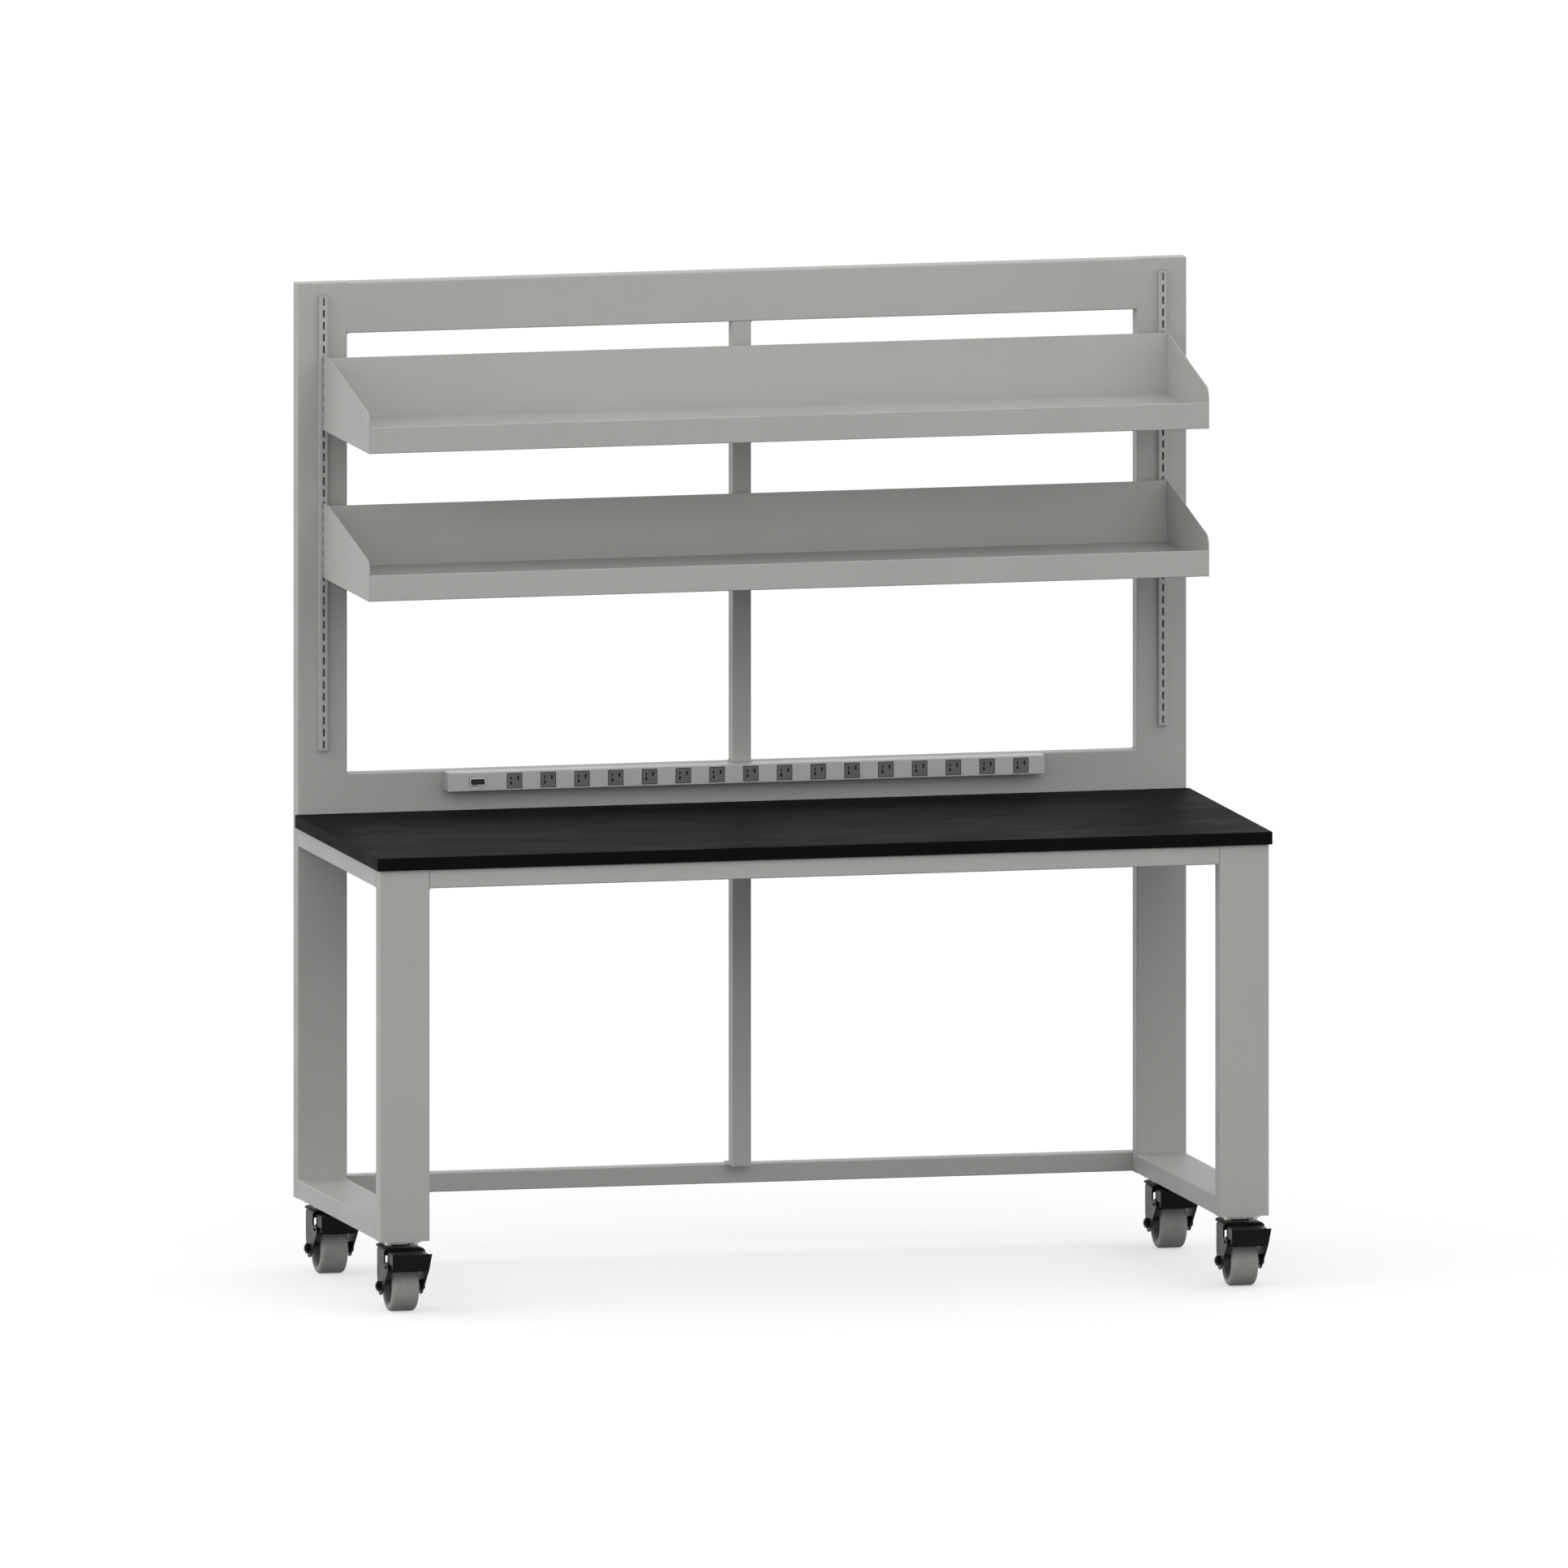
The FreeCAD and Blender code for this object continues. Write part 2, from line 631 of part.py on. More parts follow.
# ---------------------------------------------------------------- shelves
def build_shelf(name):
    """A folded tray between two end panels. Sloping hooks at the back of each panel drop into
    the slots of a standard, so the shelf comes off along the hooks."""
    rise = f"Size.{name.replace('shelf', 'hook_rise')}"
    level = f"Size.standard_bottom + Size.slot_first + Size.{name}_slot * Size.slot_pitch - {rise}"
    for side, sign in SIDES.items():
        body = new_body(f"{name}_{side}_end")
        outline = new_sketch(body, "YZ_Plane")
        draw_outline(outline, [
            ("-Size.shelf_gap", "0"), ("-Size.shelf_gap", "Size.shelf_height"),
            ("-Size.shelf_flat", "Size.shelf_height"), ("-Size.shelf_depth", "Size.shelf_front_height"),
            ("-Size.shelf_depth", "0")])
        pad(body, outline, "Size.shelf_panel", middle=True)
        round_edges(body, "Size.shelf_front_round", "x",
                    [("-Size.shelf_depth", "Size.shelf_front_height")])
        hooks = new_sketch(body, "YZ_Plane")
        drop = "(Size.hook_length + Size.shelf_gap) * tan(Size.hook_angle)"
        for step in ("0", "Size.hook_spread"):
            low = f"{rise} + {step} * Size.slot_pitch - Size.slot_height / 2 + Size.hook_seat"
            draw_outline(hooks, [
                ("-Size.shelf_gap", low), ("Size.hook_length", f"{low} - {drop}"),
                ("Size.hook_length", f"{low} + Size.hook_height - {drop}"),
                ("-Size.shelf_gap", f"{low} + Size.hook_height")])
        pad(body, hooks, "Size.shelf_panel", middle=True)
        place(body, f"{sign} * {POST_X}", STANDARD_FACE_Y, level)
    tray = new_body(f"{name}_tray")
    profile = new_sketch(tray, "YZ_Plane")
    front = "-Size.shelf_depth"
    back = "-Size.shelf_back_gap"
    inner_front = f"({front} + Size.shelf_sheet)"
    hem = f"({front} + 2 * Size.shelf_sheet)"
    fold = f"({front} + Size.shelf_return)"
    inner_back = f"({back} - Size.shelf_sheet)"
    under = "Size.shelf_floor - Size.shelf_sheet"
    top = "Size.shelf_height - Size.shelf_back_drop"
    draw_outline(profile, [
        (back, top), (back, under), (inner_front, under), (inner_front, "Size.shelf_sheet"),
        (fold, "Size.shelf_sheet"), (fold, "0"), (front, "0"), (front, "Size.shelf_lip"),
        (hem, "Size.shelf_lip"), (hem, "Size.shelf_floor"), (inner_back, "Size.shelf_floor"),
        (inner_back, top)])
    pad(tray, profile, f"2 * {SHELF_HALF}", middle=True)
    round_edges(tray, "Size.shelf_bend", "x", [(back, under), (front, "0")])
    round_edges(tray, "Size.shelf_sheet", "x", [(front, "Size.shelf_lip")])
    place(tray, "0", STANDARD_FACE_Y, level)


# ---------------------------------------------------------------- power strip
SWITCH_X = "(Size.switch_end - Size.strip_length / 2)"
NECK_X = "(Size.bezel_width / 2 - Size.bezel_rim + Size.bezel_wall)"
NECK_Z = "(Size.bezel_height / 2 - Size.bezel_rim + Size.bezel_wall)"


def outlet_places():
    """The middles of the outlets. As many as fit are counted back from the right end, and the
    left end stays free for the switch."""
    last = "Size.strip_length / 2 - Size.outlet_end"
    room = "(Size.strip_length - Size.outlet_start - Size.outlet_end)"
    count = int(number(f"{room} / Size.outlet_pitch")) + 1
    return [f"({last} - {i} * Size.outlet_pitch)" for i in reversed(range(count))]


def build_power_strip():
    """A square tube against the mid rail, with a cut-out for each outlet and for the switch."""
    length = "(Size.strip_length - 2 * Size.strip_cap)"
    half = "Size.strip_section / 2"
    body = new_body("power_strip_housing")
    outside = new_sketch(body, "YZ_Plane")
    draw_rectangle(outside, f"-{half}", f"-{half}", half, half)
    pad(body, outside, length, middle=True)
    corners = [(f"{u}{half}", f"{v}{half}") for u in ("", "-") for v in ("", "-")]
    round_edges(body, "Size.strip_corner", "x", corners)
    inside = new_sketch(body, "YZ_Plane")
    inner = f"({half} - Size.strip_wall)"
    draw_rectangle(inside, f"-{inner}", f"-{inner}", inner, inner)
    pocket(body, inside, f"{length} + Size.overcut", middle=True)
    windows = new_sketch(body, "XZ_Plane", half)
    reach_x = "(Size.outlet_width / 2 + Size.outlet_clearance)"
    reach_z = "(Size.outlet_height / 2 + Size.outlet_clearance)"
    for x in outlet_places():
        draw_rectangle(windows, f"{x} - {reach_x}", f"-{reach_z}", f"{x} + {reach_x}", reach_z)
    reach_x = f"({NECK_X} + Size.bezel_clearance)"
    reach_z = f"({NECK_Z} + Size.bezel_clearance)"
    draw_rectangle(windows, f"{SWITCH_X} - {reach_x}", f"-{reach_z}", f"{SWITCH_X} + {reach_x}", reach_z)
    pocket(body, windows, "Size.strip_wall + Size.overcut")
    place(body, "0", f"{STRIP_FRONT_Y} + {half}", STRIP_Z)
    section = number("Size.strip_section")
    cap = Part.makeBox(number("Size.strip_cap"), section, section)
    caps = []
    for start in ("-Size.strip_length / 2", "Size.strip_length / 2 - Size.strip_cap"):
        caps.append(moved(cap, point(start, STRIP_FRONT_Y, f"{STRIP_Z} - {half}")))
    compound("power_strip_end_caps", caps)


def build_outlets():
    """Moulded socket blocks, all alike, with two flat slots and an oval earth hole each."""
    block = document.addObject("Part::Box", "outlet_block")
    block.setExpression("Length", "Size.outlet_width")
    block.setExpression("Width", "Size.outlet_depth")
    block.setExpression("Height", "Size.outlet_height")
    block.setExpression("Placement.Base.x", "-Size.outlet_width / 2")
    block.setExpression("Placement.Base.y", "-Size.outlet_proud")
    block.setExpression("Placement.Base.z", "-Size.outlet_height / 2")
    holes = [
        ("blade_slot", "Size.blade_slot_x", "Size.blade_slot_z"),
        ("small_slot", "Size.earth_hole_x", "Size.blade_slot_z"),
        ("earth_hole", "Size.earth_hole_x", "Size.earth_hole_z")]
    cutters = []
    for name, x, z in holes:
        width = f"Size.{name}_width"
        height = f"Size.{name}_height"
        cutter = document.addObject("Part::Box", f"outlet_{name}")
        cutter.setExpression("Length", width)
        cutter.setExpression("Width", "Size.socket_depth")
        cutter.setExpression("Height", height)
        cutter.setExpression("Placement.Base.x", f"{x} - {width} / 2")
        cutter.setExpression("Placement.Base.y", "-Size.outlet_proud - Size.overcut")
        cutter.setExpression("Placement.Base.z", f"{z} - {height} / 2")
        cutters.append(cutter)
    tool = document.addObject("Part::MultiFuse", "outlet_holes")
    tool.Shapes = cutters
    outlet = document.addObject("Part::Cut", "outlet")
    outlet.Base = block
    outlet.Tool = tool
    document.recompute()
    shapes = [moved(outlet.Shape, point(x, STRIP_FRONT_Y, STRIP_Z)) for x in outlet_places()]
    compound("outlets", shapes)


def build_switch():
    """A snap-in bezel and the rocker that pivots in it about a vertical axis."""
    body = new_body("switch_bezel")
    half_x = "Size.bezel_width / 2"
    half_z = "Size.bezel_height / 2"
    flange = new_sketch(body, "XZ_Plane")
    draw_rectangle(flange, f"-{half_x}", f"-{half_z}", half_x, half_z)
    pad(body, flange, "Size.bezel_proud")
    long_edges = [("-Size.bezel_proud", half_z), ("-Size.bezel_proud", f"-{half_z}")]
    round_edges(body, "Size.bezel_proud / 2", "x", long_edges)
    neck = new_sketch(body, "XZ_Plane")
    draw_rectangle(neck, f"-{NECK_X}", f"-{NECK_Z}", NECK_X, NECK_Z)
    deep = pad(body, neck, "Size.bezel_depth")
    deep.Reversed = True
    document.recompute()
    window = new_sketch(body, "XZ_Plane", "Size.bezel_proud + Size.overcut")
    window_x = f"({half_x} - Size.bezel_rim)"
    window_z = f"({half_z} - Size.bezel_rim)"
    draw_rectangle(window, f"-{window_x}", f"-{window_z}", window_x, window_z)
    pocket(body, window, "Size.bezel_proud + Size.bezel_depth")
    place(body, SWITCH_X, STRIP_FRONT_Y, STRIP_Z)
    rocker = new_body("switch_rocker")
    profile = new_sketch(rocker, "XY_Plane")
    reach = "Size.rocker_width / 2"
    draw_outline(profile, [
        ("0", "-(Size.rocker_proud - Size.rocker_dip)"), (reach, "-Size.rocker_proud"),
        (reach, "Size.rocker_heel"), (f"-{reach}", "Size.rocker_heel"),
        (f"-{reach}", "-Size.rocker_proud")])
    pad(rocker, profile, f"2 * ({window_z} - Size.rocker_clearance)", middle=True)
    place(rocker, SWITCH_X, STRIP_FRONT_Y, STRIP_Z)
    rocker.setExpression("Placement.Rotation.Angle", "Size.rocker_tilt")


# ---------------------------------------------------------------- casters
PLATE_BOTTOM = "(Size.caster_height - Size.plate_thickness)"
RACE_TOP = f"({PLATE_BOTTOM} - Size.upper_race_height - Size.ball_ring_height - Size.race_gap)"
CROWN_TOP = f"({RACE_TOP} - Size.race_height)"
CROWN_BOTTOM = f"({CROWN_TOP} - Size.fork_sheet)"
LEG_INSIDE = "(Size.fork_half_width - Size.fork_sheet)"
PIVOT_Y = "(-Size.trail - Size.pedal_pivot_y)"
PIVOT_Z = "Size.pedal_pivot_z"


def bolt_places():
    """The four bolts of one top plate, from its middle."""
    signs = [(u, v) for u in (-1, 1) for v in (-1, 1)]
    return [(f"{u} * Size.plate_bolt_x / 2", f"{v} * Size.plate_bolt_y / 2") for u, v in signs]


def build_top_plates():
    """Each plate with its pressed upper race, the bolts that hold it and the kingpin."""
    template = document.addObject("PartDesign::Body", "top_plate")
    outline = new_sketch(template, "XY_Plane")
    half_x = "Size.plate_width / 2"
    half_y = "Size.plate_length / 2"
    draw_rectangle(outline, f"-{half_x}", f"-{half_y}", half_x, half_y)
    pad(template, outline, "Size.plate_thickness")
    corners = [(f"{u}{half_x}", f"{v}{half_y}") for u in ("", "-") for v in ("", "-")]
    round_edges(template, "Size.plate_corner", "z", corners)
    swivel_depth = "(Size.upper_race_height + Size.ball_ring_height)"
    for radius, depth in (("Size.upper_race_radius", "Size.upper_race_height"),
                          ("Size.ball_ring_radius", swivel_depth)):
        race = new_sketch(template, "XY_Plane", f"-{depth}")
        draw_circle(race, "0", "0", radius)
        pad(template, race, f"{depth} + Size.plate_thickness / 2")
    drill(template, "XY_Plane", "0", bolt_places(), PLATE_HOLE,
          "Size.plate_thickness + Size.overcut", reverse=True)
    drill(template, "XY_Plane", "Size.plate_thickness", [("0", "0")],
          "Size.kingpin_radius", f"Size.plate_thickness + {swivel_depth} + Size.overcut")
    bolt = fastener(number("Size.plate_bolt_size / sqrt(3)"), number("Size.bolt_head_height"),
                    number("Size.plate_bolt_radius"),
                    number("Size.plate_thickness + Size.plate_bolt_end"), sides=6)
    pin_length = number(f"Size.caster_height - {CROWN_BOTTOM} + Size.race_gap")
    pin = fastener(number("Size.kingpin_head_radius"), number("Size.kingpin_head_height"),
                   number("Size.kingpin_radius"), pin_length)
    plates = []
    bolts = []
    pins = []
    for side in SIDES.values():
        for end in ENDS.values():
            x = f"{side} * {CASTER_X}"
            y = f"{end} * {CASTER_Y}"
            plates.append(moved(template.Shape, point(x, y, PLATE_BOTTOM)))
            pins.append(moved(pin, point(x, y, f"{CROWN_BOTTOM} - Size.race_gap")))
            for u, v in bolt_places():
                bolts.append(moved(bolt, point(f"{x} + {u}", f"{y} + {v}", PLATE_BOTTOM)))
    compound("caster_top_plates", plates)
    compound("caster_plate_bolts", bolts)
    compound("caster_kingpins", pins)


def build_fork(label, x, y):
    """Pressed fork: flat legs under a crown with round shoulders and a turned-down front, and an
    ear in front of each leg that carries the brake pedal."""
    body = new_body(label)
    half = "Size.fork_half_width"
    foot = "(Size.wheel_radius - Size.fork_foot_radius)"
    channel = new_sketch(body, "XZ_Plane", f"-{half}")
    draw_outline(channel, [
        (f"-{half}", foot), (f"-{half}", CROWN_TOP), (half, CROWN_TOP), (half, foot),
        (LEG_INSIDE, foot), (LEG_INSIDE, CROWN_BOTTOM), (f"-{LEG_INSIDE}", CROWN_BOTTOM),
        (f"-{LEG_INSIDE}", foot)])
    pad(body, channel, f"{half} + Size.fork_ear_front")
    apron = new_sketch(body, "XZ_Plane", "Size.fork_front - Size.fork_sheet")
    draw_rectangle(apron, f"-{half}", f"{CROWN_TOP} - Size.fork_apron", half, CROWN_TOP)
    pad(body, apron, "Size.fork_sheet")
    round_edges(body, "Size.fork_shoulder", "y", [(half, CROWN_TOP), (f"-{half}", CROWN_TOP)])
    round_edges(body, "Size.fork_shoulder - Size.fork_sheet", "y",
                [(LEG_INSIDE, CROWN_BOTTOM), (f"-{LEG_INSIDE}", CROWN_BOTTOM)])
    cut_side_profile(body, foot)
    trim_crown(body)
    race = new_sketch(body, "XY_Plane", CROWN_TOP)
    draw_circle(race, "0", "0", "Size.race_radius")
    pad(body, race, "Size.race_height")
    round_rims(body, "Size.race_round", "Size.race_radius", RACE_TOP)
    drill(body, "XY_Plane", RACE_TOP, [("0", "0")], "Size.kingpin_radius + Size.running_gap",
          f"{RACE_TOP} - {CROWN_BOTTOM} + Size.overcut")
    outer = f"{half} + Size.overcut"
    through = f"2 * ({outer})"
    drill(body, "YZ_Plane", outer, [("-Size.trail", "Size.wheel_radius")],
          "Size.axle_radius + Size.running_gap", through)
    drill(body, "YZ_Plane", outer, [(PIVOT_Y, PIVOT_Z)],
          "Size.pedal_pin_radius + Size.running_gap", through)
    place(body, x, y, "0")


def cut_side_profile(body, foot):
    """Cuts away what lies outside the leg's outline: foot, upright, crown, notch and ear."""
    over = "Size.overcut"
    toe = "(-Size.trail - Size.fork_toe)"
    foot_back = "(-Size.trail + Size.fork_foot_radius)"
    crown_back = f"(Size.fork_half_width + {over})"
    bend_top = f"(-Size.fork_front + Size.fork_bend + {over})"
    bend_foot = f"({CROWN_TOP} - Size.fork_bend)"
    side = new_sketch(body, "YZ_Plane")
    draw_rectangle(side, f"-Size.fork_ear_front - 2 * {over}", f"{foot} - {over}",
                   f"{crown_back} + {over}", f"{CROWN_TOP} + 2 * {over}")
    corners = [
        (toe, foot), (foot_back, foot), (foot_back, "Size.wheel_radius"),
        ("-Size.fork_rear", "Size.wheel_radius + Size.fork_foot_radius"),
        ("-Size.fork_rear", CROWN_BOTTOM), (crown_back, CROWN_BOTTOM),
        (crown_back, f"{CROWN_TOP} + {over}"), (bend_top, f"{CROWN_TOP} + {over}"),
        ("-Size.fork_front", bend_foot), ("-Size.fork_front", "Size.fork_ear_top"),
        ("-Size.fork_ear_front", "Size.fork_ear_top"),
        ("-Size.fork_ear_front", "Size.fork_ear_bottom")]
    draw_outline(side, corners)
    pocket(body, side, f"2 * (Size.fork_half_width + {over})", middle=True)
    round_edges(body, "Size.fork_foot_radius - Size.running_gap", "x", corners[0:2])
    round_edges(body, "Size.fork_ear_round", "x", corners[10:12])
    round_edges(body, "Size.fork_notch_round", "x", [corners[9]])


def trim_crown(body):
    """Rounds the back of the crown to a half circle about the swivel axis."""
    plan = new_sketch(body, "XY_Plane", f"{CROWN_TOP} + Size.overcut")
    radius = number("Size.fork_half_width")
    edge = radius + 2 * number("Size.overcut")
    circle = Part.Circle(FreeCAD.Vector(0, 0, 0), FreeCAD.Vector(0, 0, 1), radius)
    bow = plan.addGeometry(Part.ArcOfCircle(circle, 0, math.pi))
    route = [(radius, 0), (edge, 0), (edge, edge), (-edge, edge), (-edge, 0), (-radius, 0)]
    for start, end in zip(route, route[1:]):
        plan.addGeometry(Part.LineSegment(FreeCAD.Vector(*start, 0), FreeCAD.Vector(*end, 0)))
    last = bow + len(route) - 1
    for i in range(bow + 1, last):
        plan.addConstraint(Sketcher.Constraint("Coincident", i, 2, i + 1, 1))
    plan.addConstraint(Sketcher.Constraint("Coincident", bow, 1, bow + 1, 1))
    plan.addConstraint(Sketcher.Constraint("Coincident", last, 2, bow, 2))
    plan.addConstraint(Sketcher.Constraint("Coincident", bow, 3, -1, 1))
    size = plan.addConstraint(Sketcher.Constraint("Radius", bow, radius))
    plan.setExpression(f"Constraints[{size}]", "Size.fork_half_width")
    plan.addConstraint(Sketcher.Constraint("Horizontal", bow + 1))
    plan.addConstraint(Sketcher.Constraint("Horizontal", last))
    far = "(Size.fork_half_width + 2 * Size.overcut)"
    outside = [(far, "0"), (far, far), (f"-{far}", far), (f"-{far}", "0")]
    for i, (u, v) in enumerate(outside, start=bow + 2):
        pin_point(plan, i, 1, u, v)
    pocket(body, plan, "Size.fork_sheet + Size.fork_shoulder")


def build_wheel(label, x, y):
    """A moulded hub inside a grey tread with well rounded shoulders."""
    tread = new_body(f"{label}_tread")
    half = "Size.wheel_width / 2"
    section = new_sketch(tread, "XZ_Plane")
    draw_rectangle(section, f"-{half}", "Size.hub_radius", half, "Size.wheel_radius")
    revolve(tread, section)
    round_rims(tread, "Size.wheel_edge", "Size.wheel_radius")
    place(tread, x, f"{y} - Size.trail", "Size.wheel_radius")
    hub = new_body(f"{label}_hub")
    profile = new_sketch(hub, "XZ_Plane")
    bore = "Size.axle_radius + Size.running_gap"
    boss = f"({LEG_INSIDE} - Size.hub_side_gap)"
    rim = "Size.hub_rim_width / 2"
    rim_inside = "Size.hub_radius - Size.hub_rim"
    web = "Size.hub_web / 2"
    right = [
        (boss, bore), (boss, "Size.hub_boss"), (web, "Size.hub_boss + Size.hub_draft"),
        (web, f"{rim_inside} - Size.hub_draft"), (rim, rim_inside), (rim, "Size.hub_radius")]
    left = [(f"-{across}", up) for across, up in reversed(right)]
    draw_outline(profile, right + left)
    revolve(hub, profile)
    place(hub, x, f"{y} - Size.trail", "Size.wheel_radius")


def revolve(body, sketch):
    feature = body.newObject("PartDesign::Revolution", f"{body.Name}_revolution")
    feature.Profile = sketch
    feature.ReferenceAxis = (sketch, ["H_Axis"])
    feature.Angle = 360
    document.recompute()


def build_axle(label, x, y):
    """The axle bolt across the fork, with its head and nut."""
    half = "(Size.fork_half_width + Size.screw_clearance)"
    across = FreeCAD.Placement(FreeCAD.Vector(0, 0, 0), FreeCAD.Rotation(FreeCAD.Vector(0, 1, 0), 90))
    tail = f"({half} + Size.axle_nut_height + Size.axle_end)"
    shank = document.addObject("Part::Cylinder", f"{label}_shank")
    shank.setExpression("Radius", "Size.axle_radius")
    shank.setExpression("Height", f"{tail} + {half} + Size.bolt_head_height / 2")
    shank.Placement = across
    shank.setExpression("Placement.Base.x", f"-{tail}")
    pieces = [shank]
    for start, height in ((f"-{half} - Size.axle_nut_height", "Size.axle_nut_height"),
                          (half, "Size.bolt_head_height")):
        hexagon = document.addObject("Part::Prism", f"{label}_hexagon")
        hexagon.Polygon = 6
        hexagon.setExpression("Circumradius", "Size.axle_nut_size / sqrt(3)")
        hexagon.setExpression("Height", height)
        hexagon.Placement = across
        hexagon.setExpression("Placement.Base.x", start)
        pieces.append(hexagon)
    bolt = keep(document.addObject("Part::MultiFuse", label), label)
    bolt.Shapes = pieces
    place(bolt, x, f"{y} - Size.trail", "Size.wheel_radius")


def build_pedal(label, x, y):
    """Stamped brake pedal: a hood with side flanges on a cross pin, a slanted front lip for the toe
    that is wider than the hood, and a blade that swings down to the tread."""
    body = new_body(label)
    half = "Size.pedal_half_width"
    inside = f"({half} - Size.pedal_sheet)"
    front = "(-Size.trail - Size.pedal_reach)"
    ear_back = f"({PIVOT_Y} + Size.pedal_ear)"
    low = f"({PIVOT_Z} - Size.pedal_ear)"
    under = "(Size.pedal_top - Size.pedal_sheet)"
    channel = new_sketch(body, "XZ_Plane", f"-{ear_back}")
    draw_outline(channel, [
        (f"-{half}", low), (f"-{half}", "Size.pedal_top"), (half, "Size.pedal_top"), (half, low),
        (inside, low), (inside, under), (f"-{inside}", under), (f"-{inside}", low)])
    pad(body, channel, f"{ear_back} - {front}")
    top_edges = [(half, "Size.pedal_top"), (f"-{half}", "Size.pedal_top")]
    round_edges(body, "2 * Size.pedal_sheet", "y", top_edges)
    round_edges(body, "Size.pedal_sheet", "y", [(inside, under), (f"-{inside}", under)])
    cut_pedal_flanges(body, front, ear_back, low)
    add_toe_lip(body, front)
    add_brake_blade(body, under)
    pin = new_sketch(body, "YZ_Plane")
    draw_circle(pin, PIVOT_Y, PIVOT_Z, "Size.pedal_pin_radius")
    pad(body, pin, "2 * (Size.fork_half_width + Size.pedal_pin_end)", middle=True)
    place(body, x, y, "0")


def cut_pedal_flanges(body, front, ear_back, low):
    """Trims the hood's flanges to the slant of the lip, the ears round the pin and the back edge."""
    rear = "(-Size.trail - Size.pedal_rear)"
    over = "Size.overcut"
    lip_foot = f"({front} + Size.pedal_lip_tilt)"
    ear_front = f"({PIVOT_Y} - Size.pedal_ear)"
    side = new_sketch(body, "YZ_Plane")
    draw_rectangle(side, f"{front} - {over}", f"{low} - {over}", f"{ear_back} + {over}",
                   f"Size.pedal_top + 2 * {over}")
    draw_outline(side, [
        (lip_foot, "Size.pedal_lip_bottom"), (f"{ear_front} - Size.pedal_ear", "Size.pedal_lip_bottom"),
        (ear_front, low), (ear_back, low), (ear_back, PIVOT_Z), (rear, f"{PIVOT_Z} + Size.pedal_ear"),
        (rear, f"Size.pedal_top + {over}"), (front, f"Size.pedal_top + {over}"),
        (front, "Size.pedal_top")])
    pocket(body, side, f"2 * (Size.pedal_half_width + {over})", middle=True)


def add_toe_lip(body, front):
    """The lip leans back towards its lower edge and is wider at the top."""
    over = "Size.overcut"
    half = "Size.pedal_half_width"
    flared = f"({half} + Size.pedal_lip_flare)"
    foot = f"({front} + Size.pedal_lip_tilt)"
    top = "Size.pedal_top"
    bottom = "Size.pedal_lip_bottom"
    lean = new_sketch(body, "YZ_Plane")
    draw_outline(lean, [
        (front, top), (f"{front} + Size.pedal_sheet", top),
        (f"{foot} + Size.pedal_sheet", bottom), (foot, bottom)])
    pad(body, lean, f"2 * {flared}", middle=True)
    taper = new_sketch(body, "XZ_Plane", f"-{front} + {over}")
    for sign in ("", "-"):
        draw_outline(taper, [
            (f"{sign}{flared}", top), (f"{sign}({flared} + {over})", top),
            (f"{sign}({flared} + {over})", f"{bottom} - {over}"), (f"{sign}{half}", f"{bottom} - {over}"),
            (f"{sign}{half}", bottom)])
    pocket(body, taper, f"Size.pedal_lip_tilt + Size.pedal_sheet + 2 * {over}")


def add_brake_blade(body, under):
    """A flat blade from the underside of the hood, past the pin, to just clear of the tread."""
    run = "cos(Size.brake_blade_angle)"
    fall = "sin(Size.brake_blade_angle)"
    above = f"(({under} + Size.pedal_sheet / 2 - {PIVOT_Z}) / {fall})"
    thick = "Size.brake_blade_sheet / 2"
    ends = []
    for along, across in (("Size.brake_blade_below", 1), ("Size.brake_blade_below", -1),
                          (f"-{above}", -1), (f"-{above}", 1)):
        ends.append((f"{PIVOT_Y} + {along} * {run} + {across} * {thick} * {fall}",
                     f"{PIVOT_Z} - {along} * {fall} + {across} * {thick} * {run}"))
    blade = new_sketch(body, "YZ_Plane")
    draw_outline(blade, ends)
    pad(body, blade, "2 * Size.pedal_half_width - Size.pedal_sheet", middle=True)


def build_casters():
    build_top_plates()
    for end, depth in ENDS.items():
        for side, across in SIDES.items():
            label = f"{end}_{side}_caster"
            x = f"{across} * {CASTER_X}"
            y = f"{depth} * {CASTER_Y}"
            build_fork(f"{label}_fork", x, y)
            build_wheel(label, x, y)
            build_axle(f"{label}_axle", x, y)
            build_pedal(f"{label}_pedal", x, y)


def check_and_write():
    """Stops at any failed object, then writes one file for each piece."""
    document.recompute()
    for item in document.Objects:
        if "Invalid" in item.State or "Error" in item.State:
            raise RuntimeError(f"{item.Label} failed: {item.State}")
    os.makedirs("parts", exist_ok=True)
    for item in nodes:
        if item.Shape.isNull() or not item.Shape.isValid() or not item.Shape.Solids:
            raise RuntimeError(f"{item.Label} has no valid solid")
        item.Shape.exportStep(f"parts/{item.Label}.step")


build_uprights()
build_side_rails()
build_long_rails()
build_centre_post_foot()
build_plugs()
build_worktop()
build_screws()
build_standards()
build_standard_screws()
build_shelf("lower_shelf")
build_shelf("upper_shelf")
build_power_strip()
build_outlets()
build_switch()
build_casters()
check_and_write()
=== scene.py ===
import bmesh
import bpy
import json
import math
import numpy as np
from mathutils import Matrix, Vector


